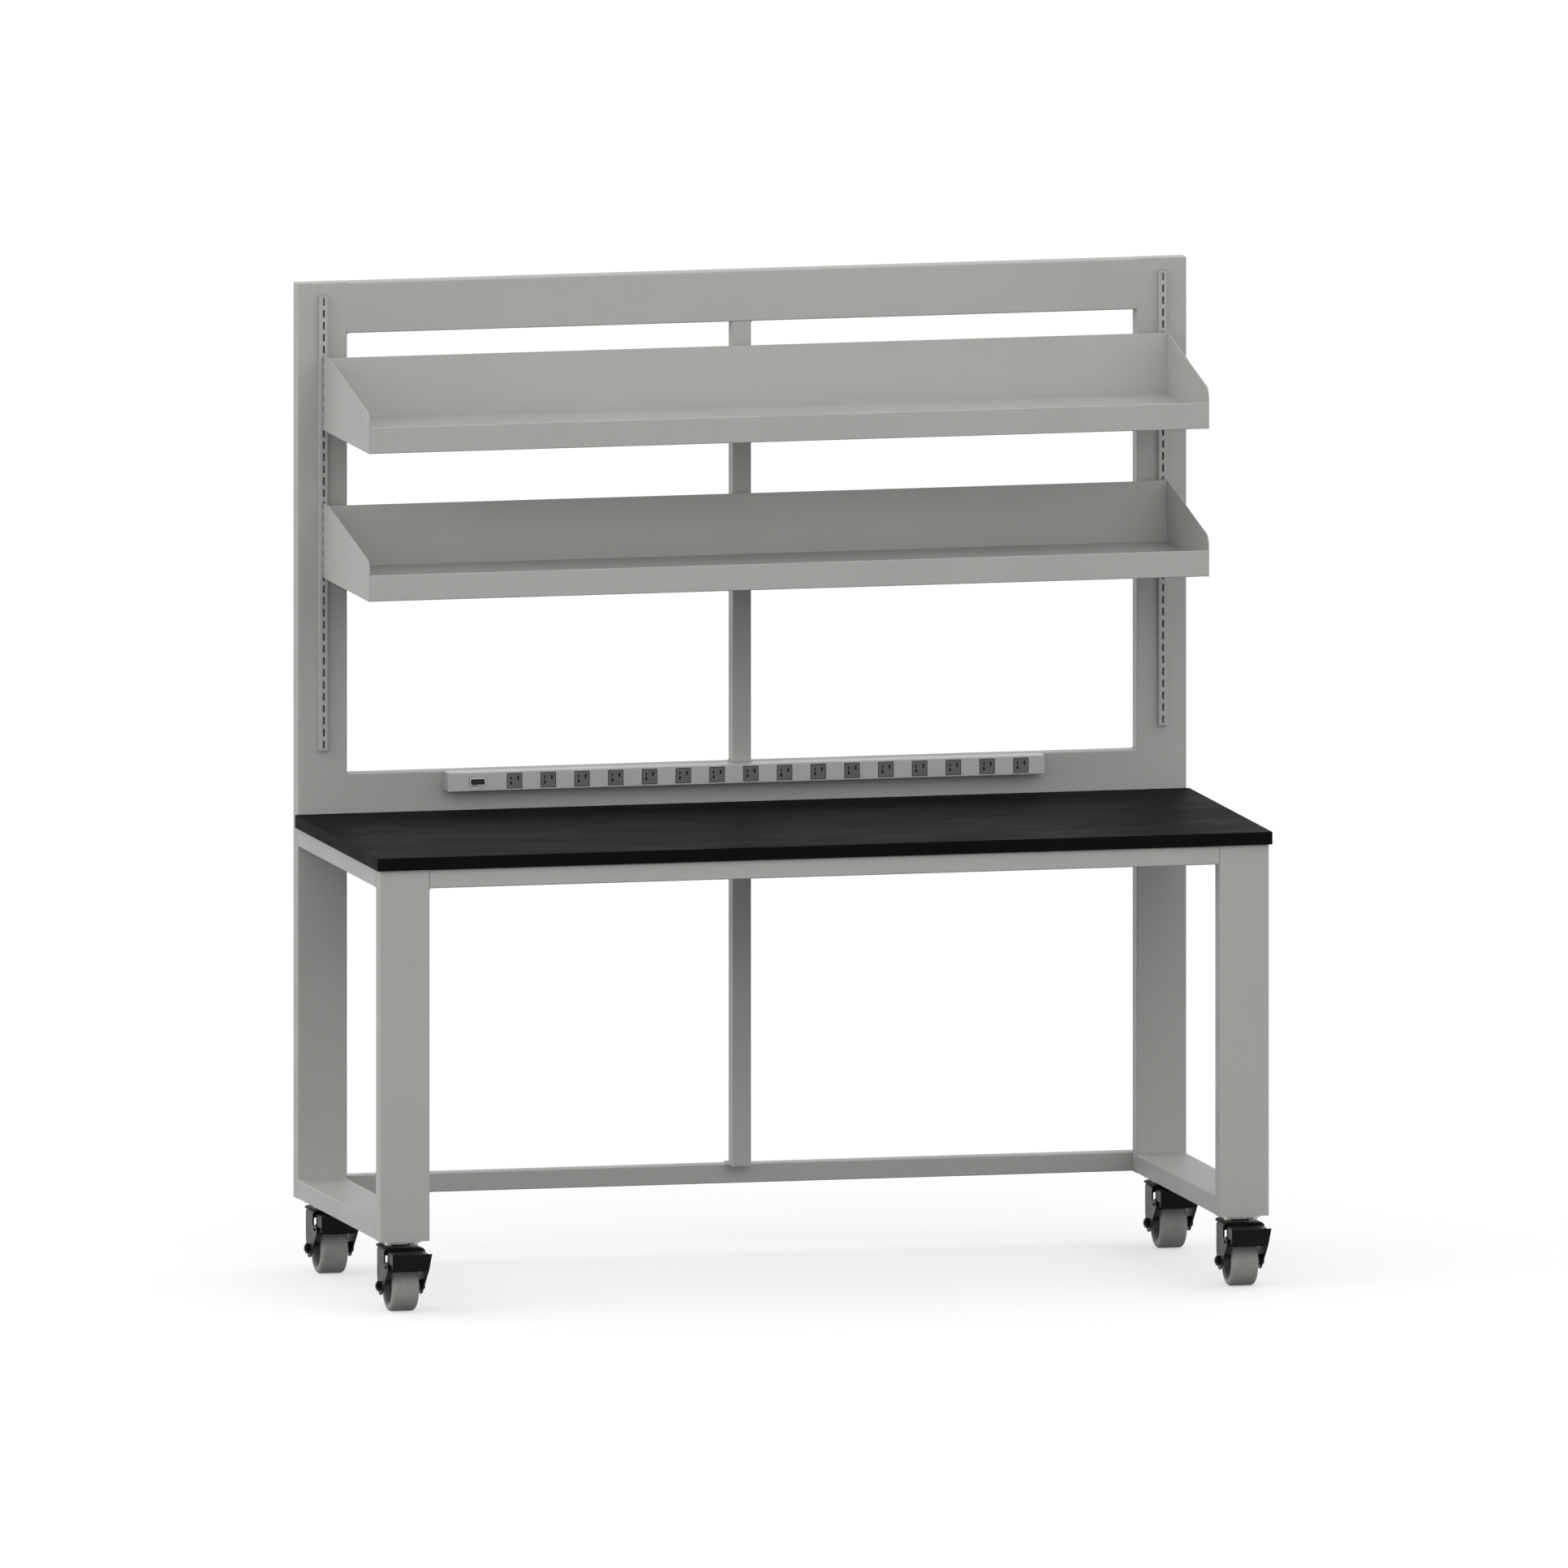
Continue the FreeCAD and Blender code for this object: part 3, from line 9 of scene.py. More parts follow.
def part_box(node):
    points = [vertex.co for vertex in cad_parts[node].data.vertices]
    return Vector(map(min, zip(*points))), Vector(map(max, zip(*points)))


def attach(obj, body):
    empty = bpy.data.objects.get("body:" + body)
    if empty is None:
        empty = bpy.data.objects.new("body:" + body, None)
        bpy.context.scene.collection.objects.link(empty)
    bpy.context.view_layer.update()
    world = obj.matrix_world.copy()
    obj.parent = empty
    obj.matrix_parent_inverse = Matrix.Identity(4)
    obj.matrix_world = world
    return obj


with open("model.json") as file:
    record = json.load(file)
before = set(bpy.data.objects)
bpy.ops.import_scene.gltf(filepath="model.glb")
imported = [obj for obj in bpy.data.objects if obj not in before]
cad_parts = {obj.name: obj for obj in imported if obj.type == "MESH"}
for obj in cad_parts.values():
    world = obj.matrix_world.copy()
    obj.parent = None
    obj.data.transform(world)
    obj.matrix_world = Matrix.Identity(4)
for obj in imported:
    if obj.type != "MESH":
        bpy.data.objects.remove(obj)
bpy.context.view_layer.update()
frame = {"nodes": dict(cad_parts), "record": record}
nodes = frame["nodes"]


def corners(name):
    low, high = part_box(name)
    return np.array(low), np.array(high)


def gridFaces(rows, columns, wrapRows, first):
    # quads of a grid whose columns close into a ring, and whose rows do too where asked
    i = np.arange(rows if wrapRows else rows - 1)[:, None]
    j = np.arange(columns)[None, :]
    nextI, nextJ = (i + 1) % rows, (j + 1) % columns
    ring = (i * columns + j, i * columns + nextJ, nextI * columns + nextJ, nextI * columns + j)
    return np.stack(np.broadcast_arrays(*ring), axis=-1).reshape(-1, 4) + first


def closedRun(sections):
    # a run of closed sections with a pole at each end, at the mean of the first and of the last one
    around = sections.shape[1]
    first, last = [np.repeat(s.mean(axis=0)[None, None, :], around, axis=1) for s in sections[[0, -1]]]
    return np.concatenate([first, sections, last])


# metres between doubles, and degrees past which an edge is sharp
shell = {"merge": 1e-7, "sharpAngle": 40.0}


def shellPiece(name, grids, material, body, wrapRows=False, sharpAngle=shell["sharpAngle"]):
    # one object from several closed shells, each a grid of points whose doubles are merged
    points, faces, first = [], [], 0
    for grid in grids:
        rows, columns = grid.shape[:2]
        faces.append(gridFaces(rows, columns, wrapRows, first))
        points.append(grid.reshape(-1, 3))
        first += rows * columns
    mesh = bpy.data.meshes.new(name)
    mesh.from_pydata(np.concatenate(points).tolist(), [], np.concatenate(faces).tolist())
    merged = bmesh.new()
    merged.from_mesh(mesh)
    bmesh.ops.remove_doubles(merged, verts=merged.verts, dist=shell["merge"])
    bmesh.ops.recalc_face_normals(merged, faces=merged.faces)
    merged.to_mesh(mesh)
    merged.free()
    mesh.shade_smooth()
    mesh.set_sharp_from_angle(angle=math.radians(sharpAngle))
    mesh.materials.append(material)
    piece = bpy.data.objects.new(name, mesh)
    bpy.context.scene.collection.objects.link(piece)
    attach(piece, body)


def newNode(tree, kind, **settings):
    node = tree.nodes.new(kind)
    for key, value in settings.items():
        setattr(node, key, value)
    return node


def noiseOf(tree, place, scale, detail, stretch=(1, 1, 1)):
    mapping = newNode(tree, "ShaderNodeMapping")
    mapping.inputs["Scale"].default_value = stretch
    tree.links.new(place, mapping.inputs["Vector"])
    noise = newNode(tree, "ShaderNodeTexNoise")
    noise.inputs["Scale"].default_value = scale
    noise.inputs["Detail"].default_value = detail
    tree.links.new(mapping.outputs["Vector"], noise.inputs["Vector"])
    return noise.outputs["Fac"]


def spread(tree, factor, low, high, fromLow=0.3, fromHigh=0.7):
    # the part of the factor between two values, laid out between two others
    span = newNode(tree, "ShaderNodeMapRange")
    span.inputs["From Min"].default_value = fromLow
    span.inputs["From Max"].default_value = fromHigh
    span.inputs["To Min"].default_value = low
    span.inputs["To Max"].default_value = high
    tree.links.new(factor, span.inputs["Value"])
    return span.outputs["Result"]


def combine(tree, operation, first, second):
    node = newNode(tree, "ShaderNodeMath", operation=operation)
    for socket, value in zip(node.inputs, (first, second)):
        if isinstance(value, (int, float)):
            socket.default_value = value
        else:
            tree.links.new(value, socket)
    return node.outputs["Value"]


# places of the colour sockets on a Mix node
mixSocket = {"factor": 0, "first": 6, "second": 7, "result": 2}


def mixTones(tree, factor, first, second):
    # a colour between two, each a plain colour or another node's
    mix = newNode(tree, "ShaderNodeMix", data_type="RGBA")
    tree.links.new(factor, mix.inputs[mixSocket["factor"]])
    for place, colour in (("first", first), ("second", second)):
        socket = mix.inputs[mixSocket[place]]
        if isinstance(colour, tuple):
            socket.default_value = (*colour, 1)
        else:
            tree.links.new(colour, socket)
    return mix.outputs[mixSocket["result"]]


# where flecks, rubbed edges and their patches start and end, and how fine each noise is
pattern = {
    "flecks": (0.56, 0.72), "edge": (0.80, 0.99), "patches": (0.38, 0.62), "leastPatch": 0.15,
    "driftDetail": 4.0, "fleckDetail": 2.0, "patchDetail": 4.0, "smearDetail": 5.0, "grainDetail": 2.0,
    "edgeSamples": 4,
}


def wornEdge(tree, place, radius, patchScale):
    # 0 on flats and up to 1 on edges: how far a rounded normal leans from the true one, in patches
    rounded = newNode(tree, "ShaderNodeBevel", samples=pattern["edgeSamples"])
    rounded.inputs["Radius"].default_value = radius
    true = newNode(tree, "ShaderNodeNewGeometry")
    lean = newNode(tree, "ShaderNodeVectorMath", operation="DOT_PRODUCT")
    tree.links.new(rounded.outputs["Normal"], lean.inputs[0])
    tree.links.new(true.outputs["Normal"], lean.inputs[1])
    edge = spread(tree, lean.outputs["Value"], 1.0, 0.0, *pattern["edge"])
    patches = noiseOf(tree, place, patchScale, pattern["patchDetail"])
    patches = spread(tree, patches, pattern["leastPatch"], 1.0, *pattern["patches"])
    return combine(tree, "MULTIPLY", edge, patches), rounded.outputs["Normal"]


def addBump(tree, shader, height, strength, distance, normal):
    bump = newNode(tree, "ShaderNodeBump")
    bump.inputs["Strength"].default_value = strength
    bump.inputs["Distance"].default_value = distance
    tree.links.new(height, bump.inputs["Height"])
    tree.links.new(normal, bump.inputs["Normal"])
    tree.links.new(bump.outputs["Normal"], shader.inputs["Normal"])


def finishOf(name, look):
    # two tones that drift into each other, fine flecks, rubbed edges and a grain that lifts the skin
    material = bpy.data.materials.new(name)
    material.use_nodes = True
    tree = material.node_tree
    tree.nodes.clear()
    output = newNode(tree, "ShaderNodeOutputMaterial")
    shader = newNode(tree, "ShaderNodeBsdfPrincipled")
    shader.inputs["Metallic"].default_value = look.get("metallic", 0.0)
    shader.inputs["Specular IOR Level"].default_value = look.get("specular", 0.5)
    tree.links.new(shader.outputs["BSDF"], output.inputs["Surface"])
    place = newNode(tree, "ShaderNodeTexCoord").outputs["Object"]
    base, stretch = np.array(look["colour"]), look.get("stretch", (1, 1, 1))
    shares = (1 - look["drift"], 1 + look["drift"], look["fleck"])
    dark, light, fleckTone = (tuple((base * share).tolist()) for share in shares)
    drift = noiseOf(tree, place, look["driftScale"], pattern["driftDetail"], stretch)
    tone = mixTones(tree, spread(tree, drift, 0.0, 1.0), dark, light)
    flecks = noiseOf(tree, place, look["fleckScale"], pattern["fleckDetail"])
    tone = mixTones(tree, spread(tree, flecks, 0.0, look["flecks"], *pattern["flecks"]), tone, fleckTone)
    edge, rounded = wornEdge(tree, place, look["edgeRadius"], look["patchScale"])
    tone = mixTones(tree, combine(tree, "MULTIPLY", edge, look["edgeWear"]), tone, look["edgeTone"])
    smears = noiseOf(tree, place, look["smearScale"], pattern["smearDetail"], look.get("smear", (1, 1, 1)))
    rough = spread(tree, smears, *look["roughness"])
    rough = combine(tree, "SUBTRACT", rough, combine(tree, "MULTIPLY", edge, look["edgePolish"]))
    tree.links.new(rough, shader.inputs["Roughness"])
    grain = noiseOf(tree, place, look["grainScale"], pattern["grainDetail"], stretch)
    return {"material": material, "tree": tree, "shader": shader, "place": place, "tone": tone,
            "rounded": rounded, "grain": grain, "look": look}


def settle(made):
    # the tone and the grain, after whatever a finish added to them, go to the shader
    tree, shader, look = made["tree"], made["shader"], made["look"]
    tree.links.new(made["tone"], shader.inputs["Base Color"])
    addBump(tree, shader, made["grain"], look["grainStrength"], look["grainDepth"], made["rounded"])
    return made["material"]


# each look: its tone and how far it drifts, its flecks, its rubbed edges, how rough it is and its grain;
# scales are in turns per metre, radii and depths in metres
paint = {
    "colour": (0.447, 0.442, 0.427), "drift": 0.03, "driftScale": 2.4,
    "fleck": 0.90, "flecks": 0.35, "fleckScale": 420.0,
    "edgeRadius": 0.0006, "edgeWear": 0.25, "edgeTone": (0.54, 0.535, 0.52), "edgePolish": 0.10,
    "patchScale": 26.0, "roughness": (0.44, 0.58), "smearScale": 9.0,
    "grainScale": 620.0, "grainStrength": 0.25, "grainDepth": 0.00012,     # orange peel of a powder coat
}
shelfCoat = dict(paint, colour=(0.452, 0.448, 0.434), driftScale=3.1)
resin = {
    "colour": (0.0055, 0.0055, 0.0057), "drift": 0.14, "driftScale": 5.0, "stretch": (1.0, 1.6, 1.0),
    "fleck": 1.9, "flecks": 0.5, "fleckScale": 420.0, "specular": 0.02,
    "edgeRadius": 0.0014, "edgeWear": 0.55, "edgeTone": (0.022, 0.022, 0.023), "edgePolish": 0.06,
    "patchScale": 40.0, "roughness": (0.50, 0.60), "smearScale": 6.0, "smear": (1.0, 2.4, 1.0),
    "grainScale": 1500.0, "grainStrength": 0.3, "grainDepth": 0.00008,
}
zinc = {
    "colour": (0.60, 0.59, 0.56), "drift": 0.10, "driftScale": 160.0, "metallic": 0.85,
    "fleck": 0.78, "flecks": 0.6, "fleckScale": 300.0,
    "edgeRadius": 0.0006, "edgeWear": 0.5, "edgeTone": (0.74, 0.73, 0.70), "edgePolish": 0.08,
    "patchScale": 90.0, "roughness": (0.30, 0.46), "smearScale": 60.0,
    "grainScale": 700.0, "grainStrength": 0.2, "grainDepth": 0.00005,
}
aluminium = {
    "colour": (0.56, 0.56, 0.545), "drift": 0.04, "driftScale": 900.0, "stretch": (0.02, 1.0, 1.0),
    "metallic": 0.5, "fleck": 0.88, "flecks": 0.4, "fleckScale": 220.0,
    "edgeRadius": 0.0008, "edgeWear": 0.35, "edgeTone": (0.70, 0.70, 0.69), "edgePolish": 0.10,
    "patchScale": 50.0, "roughness": (0.36, 0.50), "smearScale": 14.0,
    "grainScale": 900.0, "grainStrength": 0.12, "grainDepth": 0.00005,     # drawing lines along the strip
}
plastic = {
    "colour": (0.145, 0.145, 0.143), "drift": 0.10, "driftScale": 30.0,
    "fleck": 1.25, "flecks": 0.4, "fleckScale": 520.0,
    "edgeRadius": 0.0002, "edgeWear": 0.35, "edgeTone": (0.20, 0.20, 0.198), "edgePolish": 0.10,
    "patchScale": 120.0, "roughness": (0.44, 0.56), "smearScale": 40.0,
    "grainScale": 900.0, "grainStrength": 0.25, "grainDepth": 0.00006,
}
# near-black look of the raised rings round the outlets and the switch: painted shade of the gap round each
# of them
gapShadeBorder = dict(plastic, colour=(0.018, 0.018, 0.018), edgeTone=(0.05, 0.05, 0.05), roughness=(0.40, 0.52))
bezel = dict(plastic, colour=(0.84, 0.83, 0.81), drift=0.03, fleck=0.94,
             edgeTone=(0.88, 0.87, 0.85), roughness=(0.28, 0.40))
rocker = dict(plastic, colour=(0.014, 0.014, 0.014), edgeTone=(0.05, 0.05, 0.05), roughness=(0.24, 0.36))
hub = dict(plastic, colour=(0.105, 0.105, 0.103), drift=0.14,
           edgeRadius=0.0008, edgeTone=(0.19, 0.19, 0.185))
steel = dict(plastic, colour=(0.005, 0.005, 0.005), drift=0.20, fleck=1.8, fleckScale=420.0, specular=0.09,
             edgeRadius=0.0009, edgeWear=0.5, edgeTone=(0.03, 0.03, 0.031), patchScale=60.0,
             roughness=(0.24, 0.36), grainScale=520.0, grainDepth=0.00008)
rubber = dict(plastic, colour=(0.36, 0.355, 0.34), drift=0.07, driftScale=60.0,
              fleck=0.86, fleckScale=340.0, specular=0.35,
              edgeRadius=0.001, edgeWear=0.2, edgeTone=(0.42, 0.415, 0.40),
              roughness=(0.56, 0.74), grainScale=1200.0, grainStrength=0.3, grainDepth=0.00008)
mouldLine = {"half": 0.0004, "core": 0.5, "tone": 0.86, "height": 1.2}     # where the wheel's mould met


def treadFinish():
    # the band where | |x| - the wheel's middle | is under the line's half width is darker and stands up
    made = finishOf("treadRubber", rubber)
    tree = made["tree"]
    low, high = corners("front_right_caster_tread")
    split = newNode(tree, "ShaderNodeSeparateXYZ")
    tree.links.new(made["place"], split.inputs[0])
    middle, half = float((low[0] + high[0]) / 2), mouldLine["half"]
    off = combine(tree, "SUBTRACT", combine(tree, "ABSOLUTE", split.outputs["X"], 0.0), middle)
    band = spread(tree, combine(tree, "ABSOLUTE", off, 0.0), 1.0, 0.0, half * mouldLine["core"], half)
    dark = tuple((np.array(rubber["colour"]) * mouldLine["tone"]).tolist())
    made["tone"] = mixTones(tree, band, made["tone"], dark)
    ridge = combine(tree, "MULTIPLY", band, mouldLine["height"])
    made["grain"] = combine(tree, "ADD", made["grain"], ridge)
    return settle(made)


framePaint = settle(finishOf("framePaint", paint))
blackSteel = settle(finishOf("blackSteel", steel))
hubPlastic = settle(finishOf("hubPlastic", hub))
# the rings' near-black tone is painted shade of the gaps round the outlets and the switch
paintedGapShade = settle(finishOf("paintedGapShade", gapShadeBorder))
finishOfSlot = {
    "frame_paint": framePaint,
    "shelf_paint": settle(finishOf("shelfPaint", shelfCoat)),
    "zinc_plate": settle(finishOf("zincPlate", zinc)),
    "worktop_resin": settle(finishOf("topResin", resin)),
    "strip_aluminium": settle(finishOf("stripAluminium", aluminium)),
    "outlet_plastic": settle(finishOf("outletPlastic", plastic)),
    "bezel_plastic": settle(finishOf("bezelPlastic", bezel)),
    "rocker_plastic": settle(finishOf("rockerPlastic", rocker)),
    "black_steel": blackSteel,
    "grey_tread": treadFinish(),
    "hub_plastic": hubPlastic,
}
for part in frame["record"]["subparts"]:
    node = nodes[part["node"]]
    node.data.materials.clear()
    node.data.materials.append(finishOfSlot[part["material_slot"]])
print("finishes on the frame's pieces done")


bead = {"size": 0.0026, "ripple": 0.12, "ripplePitch": 0.0021, "around": 7, "step": 0.0006, "fewest": 8,
        "sunk": 0.15, "thinEnd": 0.02}
tube = {"corner": 0.003, "arc": 7, "skin": 0.00004, "overlap": 0.0006, "sharpAngle": 60.0}


def weldBead(start, end, faceOne, faceTwo):
    # corner + r(s) (cos(a) faceOne + sin(a) faceTwo), closed by a point sunk in the corner, where r
    # swells and sinks by the ripple along the run s and falls off at both ends
    start, end = np.array(start, float), np.array(end, float)
    length = np.linalg.norm(end - start)
    along = np.linspace(0, 1, max(bead["fewest"], int(length / bead["step"])))
    angle = np.linspace(0, math.pi / 2, bead["around"])
    ripple = 1 + bead["ripple"] * np.sin(2 * math.pi * along * length / bead["ripplePitch"])
    taper = np.clip(np.minimum(along, 1 - along) * length / bead["size"], bead["thinEnd"], 1) ** 0.5
    radius = (bead["size"] * ripple * taper)[:, None, None]
    spine = start + along[:, None] * (end - start)
    one, two = np.array(faceOne, float), np.array(faceTwo, float)
    swing = np.cos(angle)[:, None] * one + np.sin(angle)[:, None] * two
    section = np.concatenate([swing, -bead["sunk"] * (one + two)[None, :]])
    return closedRun(spine[:, None, :] + radius * section[None, :, :])


def groundJoint(edge, into, low, high, face, facing):
    # weld ground flush: the rail's own face, (y, z) bending in at both tube corners, carried in x from
    # the post's flat over its rounded corner on to the rail
    r = tube["corner"]
    angle = np.linspace(0, math.pi / 2, tube["arc"])
    depth = r - (r + tube["skin"]) * np.sin(angle)
    top = np.stack([depth, np.minimum(high[2] - r + r * np.cos(angle), high[2])], axis=-1)
    under = np.stack([depth[::-1], low[2] + r - r * np.cos(angle[::-1])], axis=-1)
    section = np.concatenate([top, under])
    x = edge + into * np.array([-r, -0.5 * r, 0.0, tube["overlap"]])
    grid = np.empty((len(x), len(section), 3))
    grid[:, :, 0] = x[:, None]
    grid[:, :, 1] = (face - facing * section[:, 0])[None, :]
    grid[:, :, 2] = section[:, 1][None, :]
    return closedRun(grid)


def buildWelds():
    beads, flush = [], []
    r = tube["corner"]
    top, mid, apron = corners("top_rail"), corners("mid_rail"), corners("front_apron_rail")
    post, under = corners("upper_centre_post"), corners("lower_centre_post")
    y0, y1 = top[0][1] + r, top[1][1] - r
    for side in (-1, 1):
        x, inward = side * top[1][0], (-side, 0, 0)
        for z, up in ((top[0][2], -1), (mid[1][2], 1), (mid[0][2], -1)):
            beads.append(weldBead((x, y0, z), (x, y1, z), inward, (0, 0, up)))
        z = apron[0][2]
        beads.append(weldBead((x, apron[0][1] + r, z), (x, apron[1][1] - r, z), inward, (0, 0, -1)))
        for rail in (top, mid):
            flush.append(groundJoint(x, -side, rail[0], rail[1], rail[0][1], -1))
            flush.append(groundJoint(x, -side, rail[0], rail[1], rail[1][1], 1))
        ends = ((post[1][0], top[0][2], -1), (post[1][0], mid[1][2], 1), (under[1][0], mid[0][2], -1))
        for x, z, up in ends:
            beads.append(weldBead((side * x, y0, z), (side * x, y1, z), (side, 0, 0), (0, 0, up)))
    for side in ("left", "right"):
        for rail, up in ((corners(f"{side}_lower_side_rail"), 1), (corners(f"{side}_upper_side_rail"), -1)):
            x0, x1, z = rail[0][0] + r, rail[1][0] - r, rail[1][2] if up > 0 else rail[0][2]
            for y, facing in ((rail[0][1], 1), (rail[1][1], -1)):
                beads.append(weldBead((x0, y, z), (x1, y, z), (0, facing, 0), (0, 0, up)))
    shellPiece("weldBeads", beads, framePaint, "bench")
    angle = tube["sharpAngle"]
    shellPiece("groundJoints", flush, framePaint, "bench", sharpAngle=angle)


buildWelds()
print("welds done")


surround = {"gapShadeBorder": 0.0013, "switchBorder": 0.0008, "lift": 0.0007, "count": 16, "outletWidth": 0.0291}


def borderRing(low, high, face, gapShadeBorder):
    # loops round a rectangle that grows by the border, at heights that rise from the strip and fall back
    grow = np.array([0.0, 0.0, 0.25, 0.8, 1.0, 1.0]) * gapShadeBorder
    rise = np.array([-0.4, 0.6, 1.0, 1.0, 0.3, -0.4]) * surround["lift"]
    signs = np.array([(-1, -1), (1, -1), (1, 1), (-1, 1)], float)
    centre, half = (low + high) / 2, (high - low) / 2
    size = half[[0, 2]][None, :] + grow[:, None]
    x = centre[0] + size[:, None, 0] * signs[None, :, 0]
    z = centre[2] + size[:, None, 1] * signs[None, :, 1]
    return np.stack([x, np.broadcast_to((face - rise)[:, None], x.shape), z], axis=-1)


# raised rings round the outlets and the switch; their near-black tone paints the shade of the gap round
# each
def buildSurrounds():
    strip = corners("power_strip_housing")
    low, high = corners("outlets")
    half = surround["outletWidth"] / 2
    rings = []
    for x in np.linspace(low[0] + half, high[0] - half, surround["count"]):
        a, b = np.array([x - half, low[1], low[2]]), np.array([x + half, low[1], high[2]])
        rings.append(borderRing(a, b, strip[0][1], surround["gapShadeBorder"]))
    rings.append(borderRing(*corners("switch_bezel"), strip[0][1], surround["switchBorder"]))
    shellPiece("outletSurroundsPaintedShade", rings, paintedGapShade, "bench", wrapRows=True)


buildSurrounds()
print("outlet surrounds done")


# (distance from the wheel's middle, radius) of the dished shield between the rim and the boss
dish = {
    "around": 72,
    "outline": [(0.0247, 0.0338), (0.0235, 0.0331), (0.0115, 0.0302), (0.0078, 0.0282), (0.0068, 0.0240),
                (0.0068, 0.0172), (0.0092, 0.0142), (0.0150, 0.0122), (0.0165, 0.0112), (0.0165, 0.0104),
                (0.0045, 0.0104), (0.0045, 0.0345), (0.0240, 0.0345)],
}
rib = {
    "count": 3, "height": 0.0011, "half": 0.0033, "reach": 0.027, "first": 0.0165, "pitch": 0.0115,
    "sunk": 0.0004, "fade": 0.004, "stations": 40, "across": 9,
}


def turned(centre, outline, direction):
    # the outline turned about the wheel's axle: (x, r) to (x, r cos(a), r sin(a))
    outline = np.array(outline)
    angle = np.linspace(0, 2 * math.pi, dish["around"], endpoint=False)
    x = centre[0] + direction * outline[:, 0][:, None] * np.ones_like(angle)[None, :]
    y = centre[1] + outline[:, 1][:, None] * np.cos(angle)[None, :]
    z = centre[2] + outline[:, 1][:, None] * np.sin(angle)[None, :]
    return np.stack([x, y, z], axis=-1)


def buildHubDish(corner):
    low, high = corners(f"{corner}_caster_tread")
    shields = [turned((low + high) / 2, dish["outline"], side) for side in (-1, 1)]
    shellPiece(f"{corner}_hubDish", shields, hubPlastic, f"{corner}_wheel", wrapRows=True)


def buildPedalRibs(corner):
    # each rib: x along the pedal, y = middle + half t, z = top + height (1 - t^2) s(x), where s falls
    # to nothing at its ends, closed by a flat bottom sunk in the pedal
    low, high = corners(f"{corner}_caster_pedal")
    middle = (low[0] + high[0]) / 2
    u = np.linspace(-1, 1, rib["stations"])
    t = np.linspace(-1, 1, rib["across"])
    fall = np.clip((1 - np.abs(u)) * rib["reach"] / rib["fade"], 0, 1) ** 0.5
    ribs = []
    for i in range(rib["count"]):
        ys = low[1] + rib["first"] + i * rib["pitch"] + np.append(t, [1, -1]) * rib["half"]
        zs = high[2] + np.append(rib["height"] * (1 - t ** 2), [-rib["sunk"]] * 2)[None, :] * fall[:, None]
        grid = np.empty((len(u), len(ys), 3))
        grid[:, :, 0] = (middle + u * rib["reach"])[:, None]
        grid[:, :, 1] = ys[None, :]
        grid[:, :, 2] = zs
        ribs.append(closedRun(grid))
    shellPiece(f"{corner}_pedalRibs", ribs, blackSteel, f"{corner}_pedal")


for end in ("front", "rear"):
    for side in ("left", "right"):
        buildHubDish(f"{end}_{side}")
        buildPedalRibs(f"{end}_{side}")
print("casters done")


studio = {
    "viewWidth": 3.1182,                     # metres across the square view
    "aim": (0.0059, 0.0129, 0.9887),
    "lampAim": (0.0, 0.0, 0.9),
    "back": (-0.2307, -0.9647, 0.1267),      # from the aim towards the camera
    "distance": 9.0,
    "clipEnd": 60.0,
    "world": 0.96,
    "floorHalf": 30.0,
    "floorBounce": (0.20, 0.20, 0.199),      # the floor's tone to the light that it throws back
    "floorSeen": (0.50, 0.50, 0.497),        # and to the eye, which also sees the glow
    "floorGlow": 0.53,
}
# each panel: degrees round from the front (left is below zero), degrees up, metres away, side, watts
panels = {
    "frontPanel": (5, 28, 6.5, 3.5, 45),
    "leftPanel": (-80, 25, 6.5, 3.5, 55),
}


def buildFloor():
    half = studio["floorHalf"]
    sheet = [(-half, -half, 0), (half, -half, 0), (half, half, 0), (-half, half, 0)]
    mesh = bpy.data.meshes.new("floor")
    mesh.from_pydata(sheet, [], [(0, 1, 2, 3)])
    floor = bpy.data.objects.new("floor", mesh)
    bpy.context.scene.collection.objects.link(floor)
    material = bpy.data.materials.new("floorPaper")
    material.use_nodes = True
    tree = material.node_tree
    tree.nodes.clear()
    output = newNode(tree, "ShaderNodeOutputMaterial")
    paper = newNode(tree, "ShaderNodeBsdfDiffuse")
    glow = newNode(tree, "ShaderNodeEmission")
    path = newNode(tree, "ShaderNodeLightPath")
    seen = combine(tree, "MAXIMUM", path.outputs["Is Camera Ray"], path.outputs["Is Glossy Ray"])
    tone = mixTones(tree, seen, studio["floorBounce"], studio["floorSeen"])
    tree.links.new(tone, paper.inputs["Color"])
    tree.links.new(combine(tree, "MULTIPLY", seen, studio["floorGlow"]), glow.inputs["Strength"])
    both = newNode(tree, "ShaderNodeAddShader")
    tree.links.new(paper.outputs["BSDF"], both.inputs[0])
    tree.links.new(glow.outputs["Emission"], both.inputs[1])
    tree.links.new(both.outputs["Shader"], output.inputs["Surface"])
    mesh.materials.append(material)


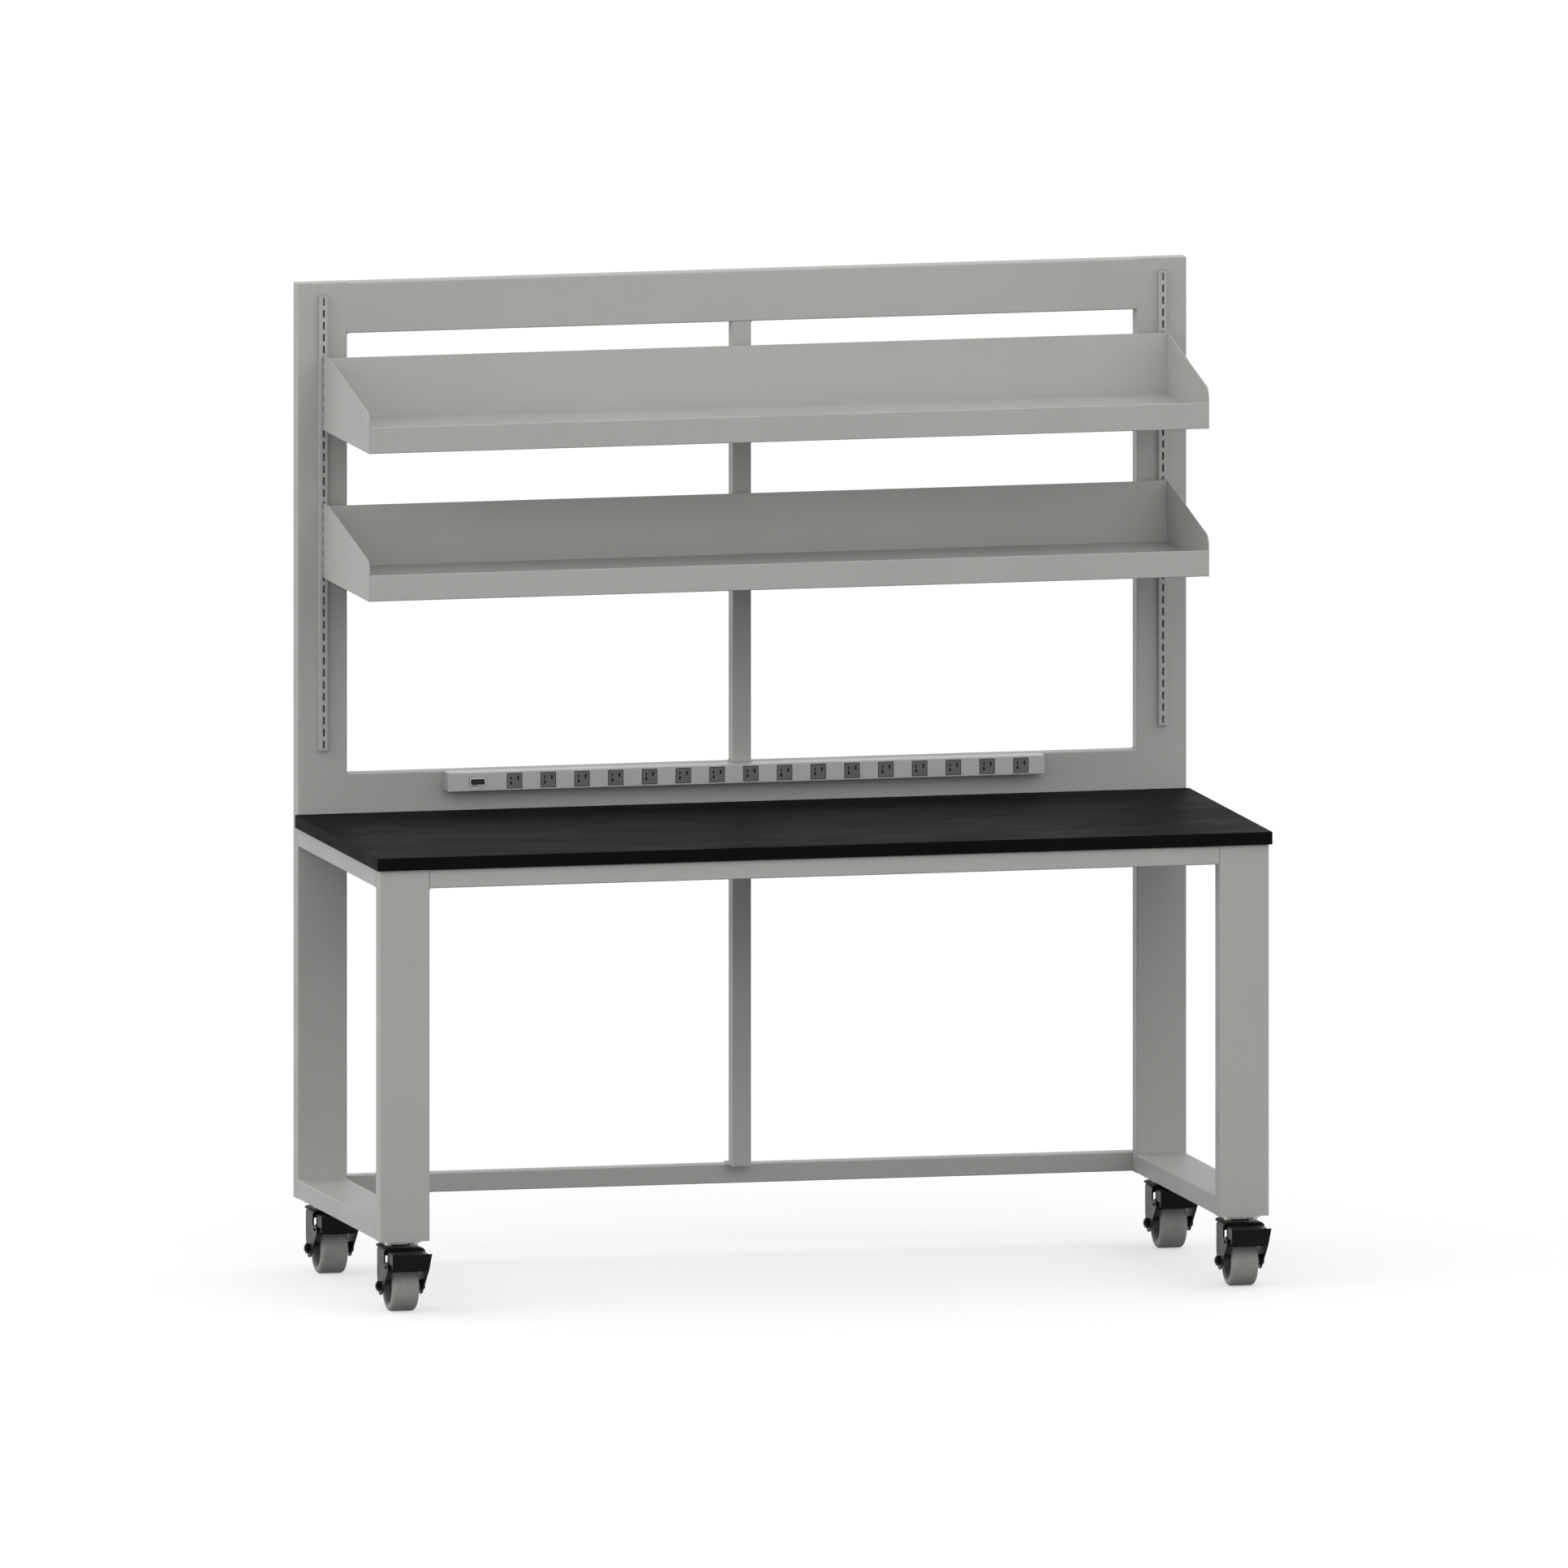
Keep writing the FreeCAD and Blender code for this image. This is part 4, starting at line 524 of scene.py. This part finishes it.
def buildWorld():
    world = bpy.data.worlds.new("studio")
    bpy.context.scene.world = world
    world.use_nodes = True
    tree = world.node_tree
    tree.nodes.clear()
    output = newNode(tree, "ShaderNodeOutputWorld")
    ambient = newNode(tree, "ShaderNodeBackground")
    ambient.inputs["Color"].default_value = (1, 1, 1, 1)
    ambient.inputs["Strength"].default_value = studio["world"]
    white = newNode(tree, "ShaderNodeBackground")
    white.inputs["Color"].default_value = (1, 1, 1, 1)
    path = newNode(tree, "ShaderNodeLightPath")
    choose = newNode(tree, "ShaderNodeMixShader")
    seen = combine(tree, "MAXIMUM", path.outputs["Is Camera Ray"], path.outputs["Is Transmission Ray"])
    tree.links.new(seen, choose.inputs["Fac"])
    tree.links.new(ambient.outputs["Background"], choose.inputs[1])
    tree.links.new(white.outputs["Background"], choose.inputs[2])
    tree.links.new(choose.outputs["Shader"], output.inputs["Surface"])


def addPanel(name, turn, rise, away, side, power):
    turn, rise = math.radians(turn), math.radians(rise)
    towards = Vector((math.sin(turn) * math.cos(rise), -math.cos(turn) * math.cos(rise), math.sin(rise)))
    light = bpy.data.lights.new(name, "AREA")
    light.shape = "SQUARE"
    light.size = side
    light.energy = power
    lamp = bpy.data.objects.new(name, light)
    bpy.context.scene.collection.objects.link(lamp)
    place = Matrix.Translation(Vector(studio["lampAim"]) + towards * away)
    lamp.matrix_world = place @ towards.to_track_quat("Z", "Y").to_matrix().to_4x4()


def buildCamera():
    back, aim = Vector(studio["back"]).normalized(), Vector(studio["aim"])
    camera = bpy.data.cameras.new("camera")
    camera.type = "ORTHO"
    camera.ortho_scale = studio["viewWidth"]
    camera.clip_end = studio["clipEnd"]
    holder = bpy.data.objects.new("camera", camera)
    bpy.context.scene.collection.objects.link(holder)
    across = Vector((0, 0, 1)).cross(back).normalized()
    turn = Matrix((across, back.cross(across), back)).transposed().to_4x4()
    holder.matrix_world = Matrix.Translation(aim + back * studio["distance"]) @ turn
    bpy.context.scene.camera = holder


buildFloor()
buildWorld()
for name, values in panels.items():
    addPanel(name, *values)
buildCamera()
bpy.context.scene.view_settings.view_transform = "Standard"
print("studio done")
